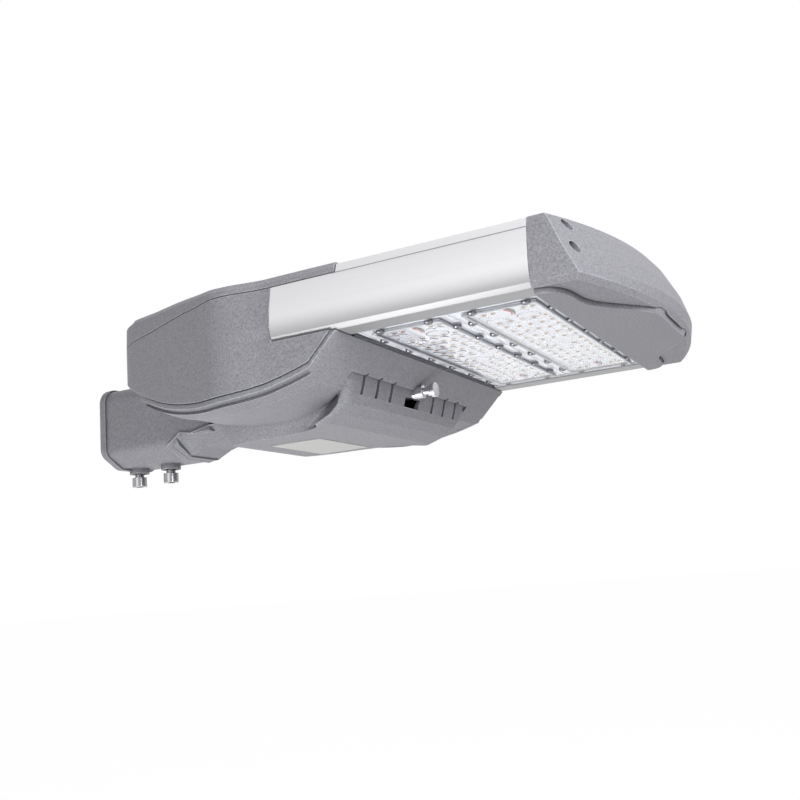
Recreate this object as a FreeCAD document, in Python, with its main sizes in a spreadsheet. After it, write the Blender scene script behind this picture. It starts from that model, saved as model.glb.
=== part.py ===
import FreeCAD
import Part
import math
import os
import re

from FreeCAD import Placement, Rotation, Vector

# LED street light head that slips over the end of a 60 mm pole.
# Origin: centre of the pole socket's mouth. +X runs to the front, +Z is up, millimetres.

doc = FreeCAD.newDocument("street_light")
sheet = doc.addObject("Spreadsheet::Sheet", "dims")

# Sizes that are set, and sizes that follow from them by a formula.
driving = [
    ("poleBore", 60.6, "bore of the pole socket"),
    ("socketDepth", 76, "depth of the pole socket"),
    ("sleeveLength", 116, "length of the pole sleeve"),
    ("sleeveHalf", 36.5, "half width of the sleeve"),
    ("sleeveTop", 33.5, "top of the sleeve above the pole axis"),
    ("sleeveSideLow", 23, "depth of the sleeve's flat side below the pole axis"),
    ("sleeveKeelHalf", 17.5, "half width of the sleeve's flat bottom"),
    ("sleeveRound", 12.5, "radius of the sleeve's top corners"),
    ("sleeveCorner", 9, "radius of the sleeve's lower corners"),
    ("footPast", 6, "full section of the sleeve past the socket"),
    ("sleeveFoot", "=socketDepth + footPast", "front end of the sleeve's full section"),
    ("sleeveStep", 17, "underside of the sleeve's front end below the pole axis"),
    ("flangeProud", 1.5, "mouth flange beyond the sleeve"),
    ("flangeThick", 6, "thickness of the mouth flange"),
    ("cableHole", 22, "hole for the supply cable"),
    ("boltDia", 8, "clamp and fixing bolt thread"),
    ("threadPlay", 0.2, "play of a bolt in its hole, on the diameter"),
    ("boltHeadDia", 13, "clamp bolt head"),
    ("boltHeadHigh", 8, "height of a clamp bolt head"),
    ("boltSocket", 7, "width across corners of the hexagon socket"),
    ("boltNeck", 3.4, "bolt shank showing under its boss"),
    ("boltFirst", 9, "first clamp bolt from the mouth"),
    ("boltPitch", 35.5, "spacing of the clamp bolts"),
    ("boltTipGap", 0.9, "clamp bolt tip short of the pole bore"),
    ("bossDia", 17, "clamp bolt boss"),
    ("bossProud", 4.7, "boss below the sleeve's flat bottom"),
    ("bossLow", "=sleeveTop + bossProud", "boss face below the pole axis"),
    ("fixingEnd", 10, "front pair of fixing bolts from the sleeve's end"),
    ("fixingPitch", 16, "spacing of the two pairs"),
    ("fixingHalf", 20, "fixing bolts from the middle"),
    ("fixingDepth", 20, "fixing bolt in the sleeve"),
    ("fixingHead", 14, "fixing bolt head across corners"),
    ("fixingHeadHigh", 5.3, "height of that head"),
    ("saddleBack", 10, "rear end of the saddle behind the sleeve's foot"),
    ("saddleRear", "=sleeveFoot - saddleBack", "rear end of the saddle"),
    ("saddleAhead", 16, "saddle past the sleeve"),
    ("saddleFront", "=sleeveLength + saddleAhead", "front end of the saddle"),
    ("saddleProud", 1.5, "saddle beyond the sleeve's side"),
    ("saddleTop", 12.5, "saddle's upper edge below the pole axis"),
    ("saddleWall", 3.5, "saddle wall"),
    ("rearFace", 62, "rear face of the housing"),
    ("rearHalf", 56, "half width of the flat rear face"),
    ("shoulderAt", 213, "widest place of the housing"),
    ("railHalf", 148, "half width over the side rails"),
    ("shoulderProud", 1, "shoulder beyond the rails"),
    ("shoulderHalf", "=railHalf + shoulderProud", "half width at the widest place"),
    ("frontIn", 1.5, "housing's lower front inside the rails"),
    ("frontHalf", "=railHalf - frontIn", "half width of the housing's front"),
    ("moduleIn", 24.4, "lens plate inside the rails"),
    ("moduleHalf", "=railHalf - moduleIn", "half width of a module"),
    ("frontFace", 303.5, "front face of the housing"),
    ("wall", 3, "casting wall"),
    ("partingGap", 0.5, "gap between housing and door"),
    ("keelAt", 207, "lowest place of the housing's lower edge"),
    ("keelDepth", 18.8, "lowest edge below the pole axis"),
    ("keelBow", 0.0022, "bow of the lower edge"),
    ("rampLong", 18, "length of the ramp where the lower edge turns up"),
    ("rampEnd", 4.5, "end of the ramp behind the front face"),
    ("rampTo", "=frontFace - rampEnd", "front end of the ramp"),
    ("rampFrom", "=rampTo - rampLong", "rear end of the ramp"),
    ("seamHeight", 49, "seam between housing and top cover"),
    ("coverTop", 57, "top of the cover"),
    ("coverRise", 0.09, "rise of the cover's top towards the rear, per unit of length"),
    ("coverEdge", 3.5, "height of the cover's rounded edge"),
    ("coverStep", 3.5, "step down at the cover's rear"),
    ("coverStepAt", 30, "front of that step from the rear face"),
    ("channelSide", 7.5, "room beside the sleeve"),
    ("channelHalf", "=sleeveHalf + channelSide", "half width of the sleeve's channel"),
    ("channelAhead", 22, "room ahead of the sleeve"),
    ("channelFront", "=sleeveLength + channelAhead", "front end of the channel"),
    ("channelRoof", 7.5, "roof of the channel"),
    ("railOverlap", 49.3, "rail inside the housing"),
    ("railRear", "=frontFace - railOverlap", "rear end of the side rails"),
    ("railBottom", 11.3, "underside of the side rails"),
    ("railTop", 55.2, "top of the side rails"),
    ("railWall", 2.8, "rail wall"),
    ("bowTop", 6.5, "side drawn in at the rail's top"),
    ("bowSeam", 4.3, "side drawn in at the seam"),
    ("bowMiddle", 1, "side drawn in halfway up"),
    ("bowMiddleAt", 33, "height of that place"),
    ("bowWideAt", 9.7, "widest place above the rail's underside"),
    ("bowLowAt", 3, "lower bend above the rail's underside"),
    ("bowLow", 1, "side drawn in at the lower bend"),
    ("railHead", 24, "width of the rail's top flange from the widest place"),
    ("lipSide", 2.9, "rail's lower flange from the lens plate"),
    ("lipThick", 2.5, "thickness of the lower flange"),
    ("ledgeSide", 0.9, "rail's module ledge from the lens plate"),
    ("railLedge", "=moduleHalf + ledgeSide", "inner edge of the module ledge"),
    ("ledgeThick", 3, "thickness of that ledge"),
    ("ledgeRise", 8.7, "top of the ledge above the rail's underside"),
    ("ledgeTop", "=railBottom + ledgeRise", "top of the ledge that carries the modules"),
    ("screwDia", 4, "end cap screw"),
    ("screwHeadDia", 7.2, "end cap screw head"),
    ("screwHeadHigh", 3.4, "height of that head"),
    ("screwSeat", 8, "seat of the screw head ahead of the rail"),
    ("screwLong", 28, "end cap screw under its head"),
    ("screwPlay", 0.6, "room round a screw head"),
    ("screwBossDia", 8, "screw boss in the rail"),
    ("screwPostDia", 10.4, "screw post in the end cap"),
    ("screwLowIn", 11.2, "lower screw from the widest place"),
    ("screwLowAt", 32.5, "height of the lower screw"),
    ("screwHighIn", 19, "upper screw from the widest place"),
    ("screwHighAt", 49.5, "height of the upper screw"),
    ("capReach", 58, "length of the end cap at its middle"),
    ("capWall", 3, "wall of the end cap"),
    ("capRise", 1.3, "end cap above the rails"),
    ("capDrop", 0.3, "underside of the end cap below the rails"),
    ("capBelly", "=railBottom - capDrop", "underside of the end cap"),
    ("capTongue", 3, "raised tongue under the end cap"),
    ("capGroove", 1.2, "width and depth of the groove round that tongue"),
    ("panelInset", 1, "lens plates above the rail's underside"),
    ("panelFace", "=railBottom + panelInset", "outer face of the lens plates"),
    ("moduleClear", 2.7, "rear module ahead of the housing"),
    ("moduleRear", "=frontFace + moduleClear", "rear edge of the rear module"),
    ("moduleLong", 63.6, "module length along the head"),
    ("moduleGap", 0.6, "gap between the two modules"),
    ("moduleFront", "=moduleRear + moduleLong + moduleGap", "rear edge of the front module"),
    ("capClear", 0.3, "front module behind the end cap"),
    ("railFront", "=moduleFront + moduleLong + capClear", "front end of the side rails"),
    ("lensThick", 3.4, "lens plate thickness"),
    ("lensRaise", 1.6, "raised lens field"),
    ("lensMargin", 8, "flange of the lens plate round the raised field"),
    ("lensCavity", 1.6, "room between the lens and the LED board"),
    ("boardThick", 1.6, "LED board"),
    ("gasketThick", 1, "lens gasket"),
    ("gasketBead", 1, "width of the gasket's sealing bead"),
    ("beadProud", 0.1, "bead beyond the gasket's sheet"),
    ("sinkBase", 7.3, "heat sink base"),
    ("sinkPlay", 0.6, "heat sink inside the lens plate's edge"),
    ("earPlay", 5, "heat sink ear from the rail wall"),
    ("finTop", 50, "top of the fins"),
    ("finThick", 2.2, "fin thickness"),
    ("finPitch", 10.2, "fin spacing"),
    ("finMargin", 4, "last fin from the module's edge, at least"),
    ("hingeAt", 100, "door hinge axis from the mouth"),
    ("hingeHigh", 12, "door hinge axis above the pole axis"),
    ("hingeInner", 70, "inner face of a hinge lug"),
    ("hingeWide", 12, "width of a hinge lug"),
    ("hingeEar", 3.6, "thickness of a housing ear"),
    ("hingePlay", 0.4, "side play in the hinge"),
    ("earSize", 12, "length and height of a housing ear"),
    ("eyeDia", 10, "eye of a hinge lug"),
    ("webLong", 8, "web under the eye, along the head"),
    ("webDeep", 14, "height of that web"),
    ("notchAhead", 6, "notch round a lug, ahead of the hinge axis"),
    ("notchBack", 12, "notch round a lug, behind the hinge axis"),
    ("notchHalf", 15, "notch round a lug, above and below the axis"),
    ("pinDia", 5, "hinge pin"),
    ("pinPlay", 0.3, "hinge pin play in the lug, on the diameter"),
    ("pinSpan", "=2 * (hingeInner + hingeWide + hingePlay + hingeEar)", "width over both hinges"),
    ("doorBack", 4, "rear edge of the door ahead of the hinge axis"),
    ("doorRear", "=hingeAt + doorBack", "rear edge of the door"),
    ("doorInset", 1, "door inside the housing's outline"),
    ("doorRim", 12, "thickness of the door's rim"),
    ("doorFlat", 36, "flat bottom below the pole axis"),
    ("lipDrop", 9.1, "inner edge of the door's rim below the parting edge"),
    ("lipIn", 16.5, "inner edge of the rim inside the door's edge"),
    ("shelfDrop", 8.3, "underside shelf below the parting edge"),
    ("shelfIn", 18.5, "shelf inside the door's edge"),
    ("shelfWall", 1.7, "thickness of the shelf"),
    ("skirtPlay", 1.5, "channel skirt from the door's rear wall"),
    ("skirtLift", 0.7, "channel skirt above the door's shelf"),
    ("boxTop", 5, "top of the driver box below the pole axis"),
    ("boxRearLow", 150, "rear of the driver box at its flat bottom"),
    ("boxRearHigh", 131, "rear of the driver box at its top"),
    ("boxTailLow", 53.5, "half width of the box's rear at the bottom"),
    ("boxTailHigh", 66, "half width of the box's rear at the top"),
    ("boxWaistLow", 60, "half width of the box's middle at the bottom"),
    ("boxWaistHigh", 86, "half width of the box's middle at the top"),
    ("boxFlareLow", 65.5, "half width where the box flares to its front, at the bottom"),
    ("boxFlareHigh", 96, "half width where the box flares to its front, at the top"),
    ("boxNoseLow", 88, "half width of the box's front at the bottom"),
    ("boxNoseHigh", 100, "half width of the box's front at the top"),
    ("boxFrontLow", 255, "front of the driver box at its flat bottom"),
    ("boxFrontHigh", 285.2, "front of the driver box at its top"),
    ("slantLead", 1, "slanted front ahead of the housing, at the panel face"),
    ("slantTopX", "=frontFace + slantLead", "slanted front at the panel face"),
    ("slantRun", 0.97, "run of the slanted front per unit of height"),
    ("slantWall", 3.5, "wall of the slanted front"),
    ("recessTop", 5.8, "top of the recess over the vent face, below the pole axis"),
    ("recessLow", 12.5, "bottom of that recess below the pole axis"),
    ("recessWide", 99, "half width of the recess"),
    ("slotWide", 4, "vent slot width"),
    ("slotPitch", 21.2, "vent slot spacing"),
    ("slotFirst", 35.5, "first vent slot from the middle"),
    ("slotTop", 4.4, "top of the slots below the pole axis"),
    ("slotLow", 19, "bottom of the slots below the pole axis"),
    ("windowWide", 25, "window behind the latch"),
    ("windowHigh", 7.5, "height of that window"),
    ("windowLow", 18.9, "its lower edge below the pole axis"),
    ("latchAxis", 7.5, "latch axis below the pole axis"),
    ("barrelDia", 10, "latch barrel"),
    ("barrelLong", 22, "length of the barrel"),
    ("barrelGap", 3, "barrel ahead of the striker plate"),
    ("plungerDia", 5.6, "latch plunger"),
    ("plungerPlay", 0.6, "plunger play in the barrel, on the diameter"),
    ("plungerPast", 5, "plunger past the striker plate's face"),
    ("knobLead", 0, "face of the pull knob ahead of the housing's front"),
    ("knobFace", "=frontFace + knobLead", "front face of the pull knob"),
    ("knobDia", 11.2, "pull knob"),
    ("knobThick", 3, "thickness of the knob's disc"),
    ("knobNeck", 1, "neck between disc and collar"),
    ("collarProud", 1.4, "collar of the knob beyond the plunger"),
    ("collarThick", 2, "thickness of the collar"),
    ("strikerBack", 37.5, "striker plate behind the housing's front"),
    ("strikerAt", "=frontFace - strikerBack", "rear face of the striker plate"),
    ("strikerWide", 18, "width of the striker plate"),
    ("strikerEdge", 7, "striker plate below the latch axis"),
    ("strikerArm", 27, "height of the striker's arm"),
    ("strikerPlay", 1.2, "plunger play in the striker, on the diameter"),
    ("plateThick", 2, "sheet steel"),
    ("trayLow", "=sleeveTop + channelRoof", "underside of the gear tray"),
    ("trayPast", 4, "gear tray ahead of the sleeve"),
    ("trayRear", "=sleeveLength + trayPast", "rear edge of the gear tray"),
    ("trayWide", 200, "width of the gear tray"),
    ("trayLedge", 6, "ledge under the tray's front edge"),
    ("driverRear", 172, "rear end of the LED driver"),
    ("driverLong", 62, "driver along the head"),
    ("driverWide", 170, "driver across the head"),
    ("driverHigh", 34, "height of the driver"),
    ("gearGap", 12, "room between the driver and the smaller gear"),
    ("surgeLong", 38, "surge protector along the head"),
    ("surgeWide", 38, "surge protector across the head"),
    ("surgeHigh", 26, "height of the surge protector"),
    ("surgeSide", 54, "surge protector from the middle"),
    ("blockLong", 26, "terminal block along the head"),
    ("blockHigh", 19, "height of the terminal block"),
    ("blockSide", 26, "terminal block from the middle"),
    ("wayDia", 6, "wire way in the terminal block"),
    ("wayPitch", 10.5, "spacing of the wire ways"),
    ("wayDrop", 12, "wire ways below the tray"),
    ("glandDia", 16, "cable gland thread"),
    ("glandNut", 25, "cable gland nut across corners"),
    ("glandNutLong", 7, "length of that nut"),
    ("glandLock", 4, "lock nut of the gland"),
    ("glandWay", 10, "cable way through the gland"),
    ("glandEnd", 11, "gland thread past its lock nut"),
    ("glandHigh", 16, "height of the gland"),
]
for row, (alias, value, note) in enumerate(driving, start=1):
    sheet.set("A%d" % row, note)
    sheet.set("B%d" % row, str(value))
    sheet.setAlias("B%d" % row, alias)
doc.recompute()
aliases = {alias for alias, value, note in driving}
nodes = {}
far = 400  # reach of cutting tools past the part
endless = str(far)


def v(alias):
    return float(sheet.get(alias))


def bind(obj, prop, text):
    def qualified(match):
        word = match.group(0)
        return "dims." + word if word in aliases else word

    obj.setExpression(prop, re.sub(r"[A-Za-z]\w*", qualified, text))


def locate(obj, at, rotation):
    obj.Placement = Placement(Vector(), rotation)
    for axis, text in zip("xyz", at):
        bind(obj, "Placement.Base." + axis, text)


turns = {"X": Rotation(Vector(0, 1, 0), 90), "Y": Rotation(Vector(1, 0, 0), -90), "Z": Rotation()}


def box(name, size, at):
    obj = doc.addObject("Part::Box", name)
    for prop, text in zip(("Length", "Width", "Height"), size):
        bind(obj, prop, text)
    locate(obj, at, turns["Z"])
    return obj


def middleBox(name, size, x, z):
    return box(name, size, (x, "-(%s)/2" % size[1], z))


def cylinder(name, radius, length, at, axis="Z"):
    obj = doc.addObject("Part::Cylinder", name)
    bind(obj, "Radius", radius)
    bind(obj, "Height", length)
    locate(obj, at, turns[axis])
    return obj


def hexagon(name, radius, length, at, axis="Z"):
    obj = doc.addObject("Part::Prism", name)
    obj.Polygon = 6
    bind(obj, "Circumradius", radius)
    bind(obj, "Height", length)
    locate(obj, at, turns[axis])
    return obj


def fuse(name, *parts):
    obj = doc.addObject("Part::MultiFuse", name)
    obj.Shapes = list(parts)
    return obj


def cut(name, base, *tools):
    obj = doc.addObject("Part::Cut", name)
    obj.Base = base
    obj.Tool = tools[0] if len(tools) == 1 else fuse(name + "_tools", *tools)
    return obj


def common(name, base, tool):
    obj = doc.addObject("Part::Common", name)
    obj.Base = base
    obj.Tool = tool
    return obj


def solid(name, shape):
    obj = doc.addObject("Part::Feature", name)
    obj.Shape = shape
    return obj


def node(label, obj):
    obj.Label = label
    nodes[label] = obj
    return obj


def padBody(name, geometry, start, length):
    """Body padded along +X from a sketch in the YZ plane."""
    body = doc.addObject("PartDesign::Body", name)
    plane = [f for f in body.Origin.OriginFeatures if f.Role == "YZ_Plane"][0]
    sketch = body.newObject("Sketcher::SketchObject", name + "_sketch")
    sketch.AttachmentSupport = [(plane, "")]
    sketch.MapMode = "FlatFace"
    bind(sketch, "AttachmentOffset.Base.z", start)
    sketch.addGeometry(geometry, False)
    pad = body.newObject("PartDesign::Pad", name + "_pad")
    pad.Profile = sketch
    bind(pad, "Length", length)
    body.Tip = pad
    return body


def polygon(points):
    corners = [Vector(a, b, 0) for a, b in points]
    return [Part.LineSegment(p, q) for p, q in zip(corners, corners[1:] + corners[:1])]


def rounded(corners):
    """Closed outline whose corners (across, up, radius) are rounded by their radius."""
    places = [Vector(a, b, 0) for a, b, bend in corners]
    ends = []
    arcs = []
    for k, (a, b, bend) in enumerate(corners):
        back = (places[k - 1] - places[k]).normalize()
        on = (places[(k + 1) % len(places)] - places[k]).normalize()
        half = back.getAngle(on) / 2
        middle = places[k] + (back + on).normalize() * (bend / math.sin(half) - bend)
        ends.append([places[k] + way * (bend / math.tan(half)) for way in (back, on)])
        arcs.append(Part.ArcOfCircle(ends[-1][0], middle, ends[-1][1]))
    lines = [Part.LineSegment(p[1], q[0]) for p, q in zip(ends, ends[1:] + ends[:1])]
    return lines + arcs


def spline(points, start=None, end=None):
    curve = Part.BSplineCurve()
    if start is None:
        curve.interpolate(points)
    else:
        curve.interpolate(Points=points, InitialTangent=start, FinalTangent=end, Scale=False)
    return curve


def prismAcross(points, half):
    """Outline in the XZ plane, extruded to both sides of the middle."""
    corners = [Vector(x, -half, z) for x, z in points]
    return Part.Face(Part.makePolygon(corners + corners[:1])).extrude(Vector(0, 2 * half, 0))


def runEdge(points):
    return Part.makeLine(*points) if len(points) == 2 else spline(points).toShape()


def closedRing(runs):
    """Edges round the head: rear line, the runs of the right side, front line, the same runs on the left."""
    flipped = [[Vector(p.x, -p.y, p.z) for p in run] for run in runs]
    rear = Part.makeLine(flipped[0][0], runs[0][0])
    front = Part.makeLine(runs[-1][-1], flipped[-1][-1])
    return [rear, *map(runEdge, runs), front, *map(runEdge, flipped)]


def ruledSolid(rings):
    """Solid between closed rings, each ring joined to the next by ruled faces."""
    faces = [Part.makeRuledSurface(a, b) for low, high in zip(rings, rings[1:]) for a, b in zip(low, high)]
    for ring in (rings[0], rings[-1]):
        faces.append(Part.Face(Part.Wire(Part.__sortEdges__(ring))))
    skin = Part.Compound(faces)
    skin.sewShape()
    body = Part.Solid(skin.Shells[0])
    if body.Volume < 0:
        body.reverse()
    return body


# The housing's outline in plan: flat rear, tapered sides and a shoulder, then straight to the front.
def outlineCurve(frontHalf):
    rear, shoulder, wide = v("rearFace"), v("shoulderAt"), v("shoulderHalf")
    long, spread = shoulder - rear, wide - v("rearHalf")
    side = [(0.02, 0.161), (0.093, 0.323), (0.388, 0.575), (0.603, 0.742), (0.923, 0.961), (1, 1)]
    points = [Vector(rear, v("rearHalf"), 0)]
    points += [Vector(rear + along * long, v("rearHalf") + out * spread, 0) for along, out in side]
    past = 0.3 * (v("railRear") - shoulder)
    points.append(Vector(shoulder + past, wide - 0.35 * (wide - frontHalf), 0))
    points.append(Vector(v("railRear"), frontHalf, 0))
    return spline(points, Vector(0, 1, 0), Vector(1, 0, 0))


def ring(inset, height, frontHalf, reach=0, facets=0):
    """Outline moved in by inset; height is a number or a function of x; facets make the taper straight."""
    curve = outlineCurve(frontHalf)
    steps = facets or 14

    def lift(x, y):
        return Vector(x, y, height(x) if callable(height) else height)

    taper = []
    for step in range(steps + 1):
        at = curve.FirstParameter + (curve.LastParameter - curve.FirstParameter) * step / steps
        point, along = curve.value(at), curve.tangent(at)[0]
        taper.append(lift(point.x + inset * along.y, point.y - inset * along.x))
    across = frontHalf - inset
    start, bend, end = v("railRear"), v("rampFrom"), v("rampTo")
    pieces = 3 if callable(height) else 1
    straight = [lift(start + (bend - start) * k / pieces, across) for k in range(pieces + 1)]
    ramp = [lift(bend, across), lift(end, across)]
    runs = [list(pair) for pair in zip(taper, taper[1:])] if facets else [taper]
    return closedRing(runs + [straight, ramp, [ramp[1], lift(v("frontFace") + reach, across)]])


def sideBow():
    """Heights and half widths of the bowed side that rails, housing and end cap share, from the top down."""
    low, half = v("railBottom"), v("railHalf")
    return [
        (v("railTop"), half - v("bowTop")),
        (v("seamHeight"), half - v("bowSeam")),
        (v("bowMiddleAt"), half - v("bowMiddle")),
        (low + v("bowWideAt"), half),
        (low + v("bowLowAt"), half - v("bowLow")),
    ]


# Lower edge of the housing seen from the side: a shallow bow that turns up at the front.
def edgeHeight(x):
    bow = v("keelBow") * (x - v("keelAt")) ** 2 - v("keelDepth")
    end = v("keelBow") * (v("rampTo") - v("keelAt")) ** 2 - v("keelDepth")
    cap = v("railBottom") - v("partingGap") / 2
    if x <= v("rampFrom"):
        return bow
    if x >= v("rampTo"):
        return cap
    return bow + (cap - end) * (x - v("rampFrom")) / (v("rampTo") - v("rampFrom"))


def belowEdge(drop):
    """Everything below the lower edge moved down by drop."""
    half, start, stop, deep = far / 2, v("rearFace") - 20, v("frontFace") + 40, -far
    stations = [start + (v("rampFrom") - start) * k / 8 for k in range(9)]
    bow = spline([Vector(x, -half, edgeHeight(x) - drop) for x in stations]).toShape()
    corners = [
        bow.Vertexes[-1].Point,
        Vector(v("rampTo"), -half, edgeHeight(v("rampTo")) - drop),
        Vector(stop, -half, edgeHeight(stop) - drop),
        Vector(stop, -half, deep),
        Vector(start, -half, deep),
        bow.Vertexes[0].Point,
    ]
    wire = Part.Wire([bow] + Part.makePolygon(corners).Edges)
    return Part.Face(wire).extrude(Vector(0, 2 * half, 0))


def slantX(height):
    return v("slantTopX") - (v("panelFace") - height) * v("slantRun")


def beforeSlant(back):
    """Everything in front of the door's slanted face moved back by back."""
    top, low, ahead = v("seamHeight"), -2 * v("doorFlat"), 2 * far
    points = [(slantX(top) - back, top), (ahead, top), (ahead, low), (slantX(low) - back, low)]
    return prismAcross(points, far / 2)


def alongSlant(thickness):
    """Length along X of a thickness measured square to the slanted face."""
    return thickness * math.sqrt(1 + v("slantRun") ** 2)


# Pole sleeve: rounded square tube with chamfered lower corners.
def sleeveSection(grow):
    half, top = v("sleeveHalf") + grow, v("sleeveTop") + grow
    low, keel = v("sleeveSideLow") + grow / 2, v("sleeveKeelHalf") + grow / 2
    corner = v("sleeveCorner") + grow
    side = [(half, top, v("sleeveRound") + grow), (half, -low, corner), (keel, -top, corner)]
    return rounded(side + [(-a, b, bend) for a, b, bend in reversed(side)])


boltPlaces = ["boltFirst", "boltFirst + boltPitch"]


def makeSleeve():
    tube = padBody("sleeve_tube", sleeveSection(0), "0", "sleeveLength")
    flange = padBody("sleeve_flange", sleeveSection(v("flangeProud")), "0", "flangeThick")
    bosses = [
        cylinder("clamp_boss", "bossDia / 2", "bossLow", (x, "0", "-bossLow"))
        for x in boltPlaces
    ]
    step = middleBox("sleeve_step", (endless, endless, endless), "sleeveFoot", "-%d - sleeveStep" % far)
    tools = [
        cylinder("pole_bore", "poleBore / 2", "socketDepth + bossDia", ("-bossDia", "0", "0"), "X"),
        cylinder("cable_way", "cableHole / 2", "sleeveLength", ("0", "0", "0"), "X"),
        step,
    ]
    for x in boltPlaces:
        place = (x, "0", "-bossLow - 1")
        tools.append(cylinder("clamp_thread", "(boltDia + threadPlay) / 2", "bossLow", place))
    for x, y in sleeveBoltPlaces():
        low = "sleeveTop - fixingDepth - 2"
        tools.append(cylinder("fixing_thread", "(boltDia + threadPlay) / 2", "fixingDepth + 4", (x, y, low)))
    node("pole_sleeve", cut("pole_sleeve", fuse("sleeve_blank", tube, flange, *bosses), *tools))
    return cut("sleeve_envelope", tube, step)


def sleeveBoltPlaces():
    rows = ("sleeveLength - fixingEnd", "sleeveLength - fixingEnd - fixingPitch")
    return [(x, y) for x in rows for y in ("-fixingHalf", "fixingHalf")]


def makeClampBolts():
    bolts = []
    for x in boltPlaces:
        shank = cylinder("bolt_shank", "boltDia / 2", "bossLow + boltNeck - poleBore / 2 - boltTipGap",
                         (x, "0", "-bossLow - boltNeck"))
        head = cylinder("bolt_head", "boltHeadDia / 2", "boltHeadHigh",
                        (x, "0", "-bossLow - boltNeck - boltHeadHigh"))
        key = hexagon("bolt_key", "boltSocket / 2", "boltHeadHigh / 2",
                      (x, "0", "-bossLow - boltNeck - boltHeadHigh"))
        bolts.append(cut("clamp_bolt", fuse("bolt_blank", shank, head), key))
    node("clamp_bolts", fuse("clamp_bolts", *bolts))


def makeSleeveBolts():
    bolts = []
    for x, y in sleeveBoltPlaces():
        shank = cylinder("fixing_shank", "boltDia / 2", "fixingDepth + channelRoof",
                         (x, y, "sleeveTop - fixingDepth"))
        head = hexagon("fixing_head", "fixingHead / 2", "fixingHeadHigh", (x, y, "sleeveTop + channelRoof"))
        bolts.append(fuse("fixing_bolt", shank, head))
    node("sleeve_bolts", fuse("sleeve_bolts", *bolts))


# Saddle: shell that carries the sleeve's lower corners on to the door, open on top.
def saddleSection(x, top, keel, low, inset):
    half = v("sleeveHalf") + v("saddleProud") - inset
    bottom, flat = low + inset, keel - inset / 2
    points = [(half, top), (flat, bottom), (-flat, bottom), (-half, top), (half, top)]
    return Part.makePolygon([Vector(x, a, b) for a, b in points])


def saddleLoft(inset):
    # Share of the length, upper edge, half width of the flat bottom, rise of that bottom.
    stations = [(0, -12, 1, 0.6), (0.233, -2, 1, 4), (0.417, -4, 0, 8.5), (0.75, 0, -2, 13), (1, 0, -3, 17)]
    rear, long = v("saddleRear"), v("saddleFront") - v("saddleRear")
    high, flat, low = -v("saddleTop"), v("sleeveKeelHalf"), -v("sleeveTop") - v("saddleProud")
    sections = [
        saddleSection(rear + share * long, high + top, flat + keel, low + rise, inset)
        for share, top, keel, rise in stations
    ]
    return Part.makeLoft(sections, True, True)


def makeSaddle(envelope):
    ahead = Part.makeBox(far, far, far, Vector(v("sleeveFoot"), -far / 2, -far))
    room = solid("saddle_room", saddleLoft(v("saddleWall")).common(ahead))
    node("sleeve_saddle", cut("sleeve_saddle", solid("saddle_blank", saddleLoft(0)), envelope, room))


# Housing: tapered frame, open on top for the cover and below for the door.
def housingBlank():
    low, side = v("railBottom"), v("frontHalf")
    levels = sideBow()[1:4] + [(low + v("bowLowAt"), v("railHalf") - 2 * v("bowLow")), (low, side)]
    levels.append((-2 * v("doorFlat"), side))
    return ruledSolid([ring(0, height, half) for height, half in levels])


def lugSide(side):
    """Where a hinge lug starts across the head, on the left (1) or the right (-1)."""
    return "%d * (hingeInner + hingeWide / 2) - hingeWide / 2" % side


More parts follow.
